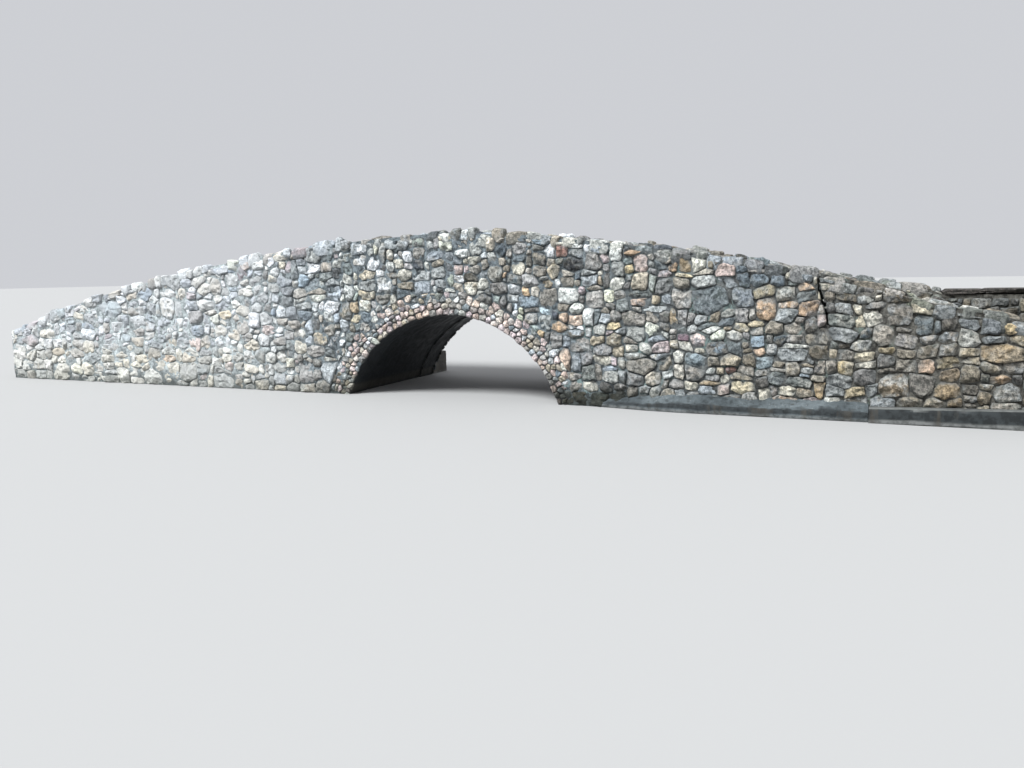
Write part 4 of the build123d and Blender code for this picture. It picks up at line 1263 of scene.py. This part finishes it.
report = {}
for part, bag in front_wall().items():
    report["front_stones_" + part] = bag.tris()
    bag.build("front_stones_" + part, STONE, "fieldstone")
HIDES = {"rough_toe": "front_concrete_toe", "worn_kerb": "front_kerb", "rough_cap_slabs": "back_right_cap_slabs",
         "worn_left_channel_wall": "back_left_channel_wall", "worn_right_channel_wall": "back_right_channel_wall"}
zero = lambda x: 0.0
on_path = lambda x: float(on_line(PATH, x)) + .002
for name, bag, mat, slot in (
    ("front_mortar", mortar_bed("front_mortar", "front", -END, END, CREST_FRONT, zero, .033, 81, crack=True), MORTAR, "fieldstone"),
    ("back_mortar", mortar_bed("back_mortar", "back", -END, END, CREST_BACK, zero, .06, 84, flip=True), MORTAR, "fieldstone"),
    ("back_stones", plain_wall("back", CREST_BACK, zero, 21, True, True), STONE, "fieldstone"),
    ("front_parapet_inner_stones", plain_wall("front_in", CREST_FRONT, on_path, 22, True, False), STONE, "fieldstone"),
    ("back_parapet_inner_stones", plain_wall("back_in", CREST_BACK, on_path, 23, False, False), STONE, "fieldstone"),
    ("front_ring_cobbles", ring("front", 31), COBBLE, "arch_cobbles"),
    ("back_ring_cobbles", ring("back", 32), COBBLE, "arch_cobbles"),
    ("front_coping_stones", crest_row(CREST_FRONT, Y_FRONT, Y_FRONT_IN, 41, gaps=(4.46,), n=6), CREST_STONE, "coping_stones"),
    ("back_coping_stones", crest_row(CREST_BACK, Y_BACK_IN, Y_BACK, 42, x1=5.79), CREST_STONE, "coping_stones"),
    ("front_left_end_stones", end_face("left_end", Y_FRONT, Y_FRONT_IN, -END, CREST_FRONT, 51), STONE, "fieldstone"),
    ("back_left_end_stones", end_face("left_end", Y_BACK_IN, Y_BACK, -END, CREST_BACK, 52), STONE, "fieldstone"),
    ("front_right_end_stones", end_face("right_end", Y_FRONT, Y_FRONT_IN, END, CREST_FRONT, 53), STONE, "fieldstone"),
    ("back_right_end_stones", end_face("right_end", Y_BACK_IN, Y_BACK, END, CREST_BACK, 54), STONE, "fieldstone"),
    ("left_sill_stones", end_face("left_end", Y_FRONT_IN, Y_BACK_IN, -END, [(-9, .47), (9, .47)], 55), STONE, "fieldstone"),
    ("right_sill_stones", end_face("right_end", Y_FRONT_IN, Y_BACK_IN, END, [(-9, .47), (9, .47)], 56), STONE, "fieldstone"),
    ("rough_toe", toe(), TOE_MAT, "wet_concrete"),
    ("worn_kerb", kerb(), KERB_MAT, "wet_concrete"),
    ("rough_cap_slabs", caps(), CAP_MAT, "cap_slabs"),
    ("worn_left_channel_wall", channel("back_left_channel_wall"), CHANNEL_MAT, "wet_concrete"),
    ("worn_right_channel_wall", channel("back_right_channel_wall"), CHANNEL_MAT, "wet_concrete"),
):
    report[name] = bag.tris()
    ob = bag.build(name, mat, slot)
    if name in HIDES:
        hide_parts(HIDES[name])
print("TRIS", report, sum(report.values()))

# ------------------------------------------------------------------ stage, light and camera
floor = bpy.data.meshes.new("floor")
floor.from_pydata([(-150, -150, -.001), (150, -150, -.001), (150, 150, -.001), (-150, 150, -.001)], [], [(0, 1, 2, 3)])
fo = bpy.data.objects.new("floor", floor)
bpy.context.scene.collection.objects.link(fo)
m, nt, bs = new_mat("floor")
bs.inputs["Base Color"].default_value = (.42, .42, .415, 1)
bs.inputs["Roughness"].default_value = .9
floor.materials.append(m)

world = bpy.data.worlds.new("studio")
bpy.context.scene.world = world
world.use_nodes = True
bg = world.node_tree.nodes["Background"]
bg.inputs[0].default_value = (.93, .95, 1.0, 1)
bg.inputs[1].default_value = .66

sun = bpy.data.lights.new("soft_key", "SUN")
sun.energy = 4.85
sun.color = (.965, .985, 1.0)
sun.angle = math.radians(24)
so = bpy.data.objects.new("soft_key", sun)
so.rotation_euler = (math.radians(36), math.radians(-20), 0)
bpy.context.scene.collection.objects.link(so)

cam = bpy.data.cameras.new("camera")
cam.sensor_fit = "HORIZONTAL"
cam.sensor_width = 36
cam.lens = 840 / 1024 * 36
cam.clip_end = 500
co = bpy.data.objects.new("camera", cam)
bpy.context.scene.collection.objects.link(co)
phi, th, ro = math.radians(22.8), math.radians(7.5), math.radians(-.8)
flat = Vector((-math.sin(phi), math.cos(phi), 0))
rt0 = Vector((math.cos(phi), math.sin(phi), 0))
fw = flat * math.cos(th) - Vector((0, 0, 1)) * math.sin(th)
up0 = rt0.cross(fw)
rt = rt0 * math.cos(ro) + up0 * math.sin(ro)
up = -rt0 * math.sin(ro) + up0 * math.cos(ro)
co.matrix_world = Matrix(((rt.x, up.x, -fw.x, 4.928), (rt.y, up.y, -fw.y, -10.931), (rt.z, up.z, -fw.z, 1.6), (0, 0, 0, 1)))
bpy.context.scene.camera = co
bpy.context.scene.view_settings.view_transform = "Standard"
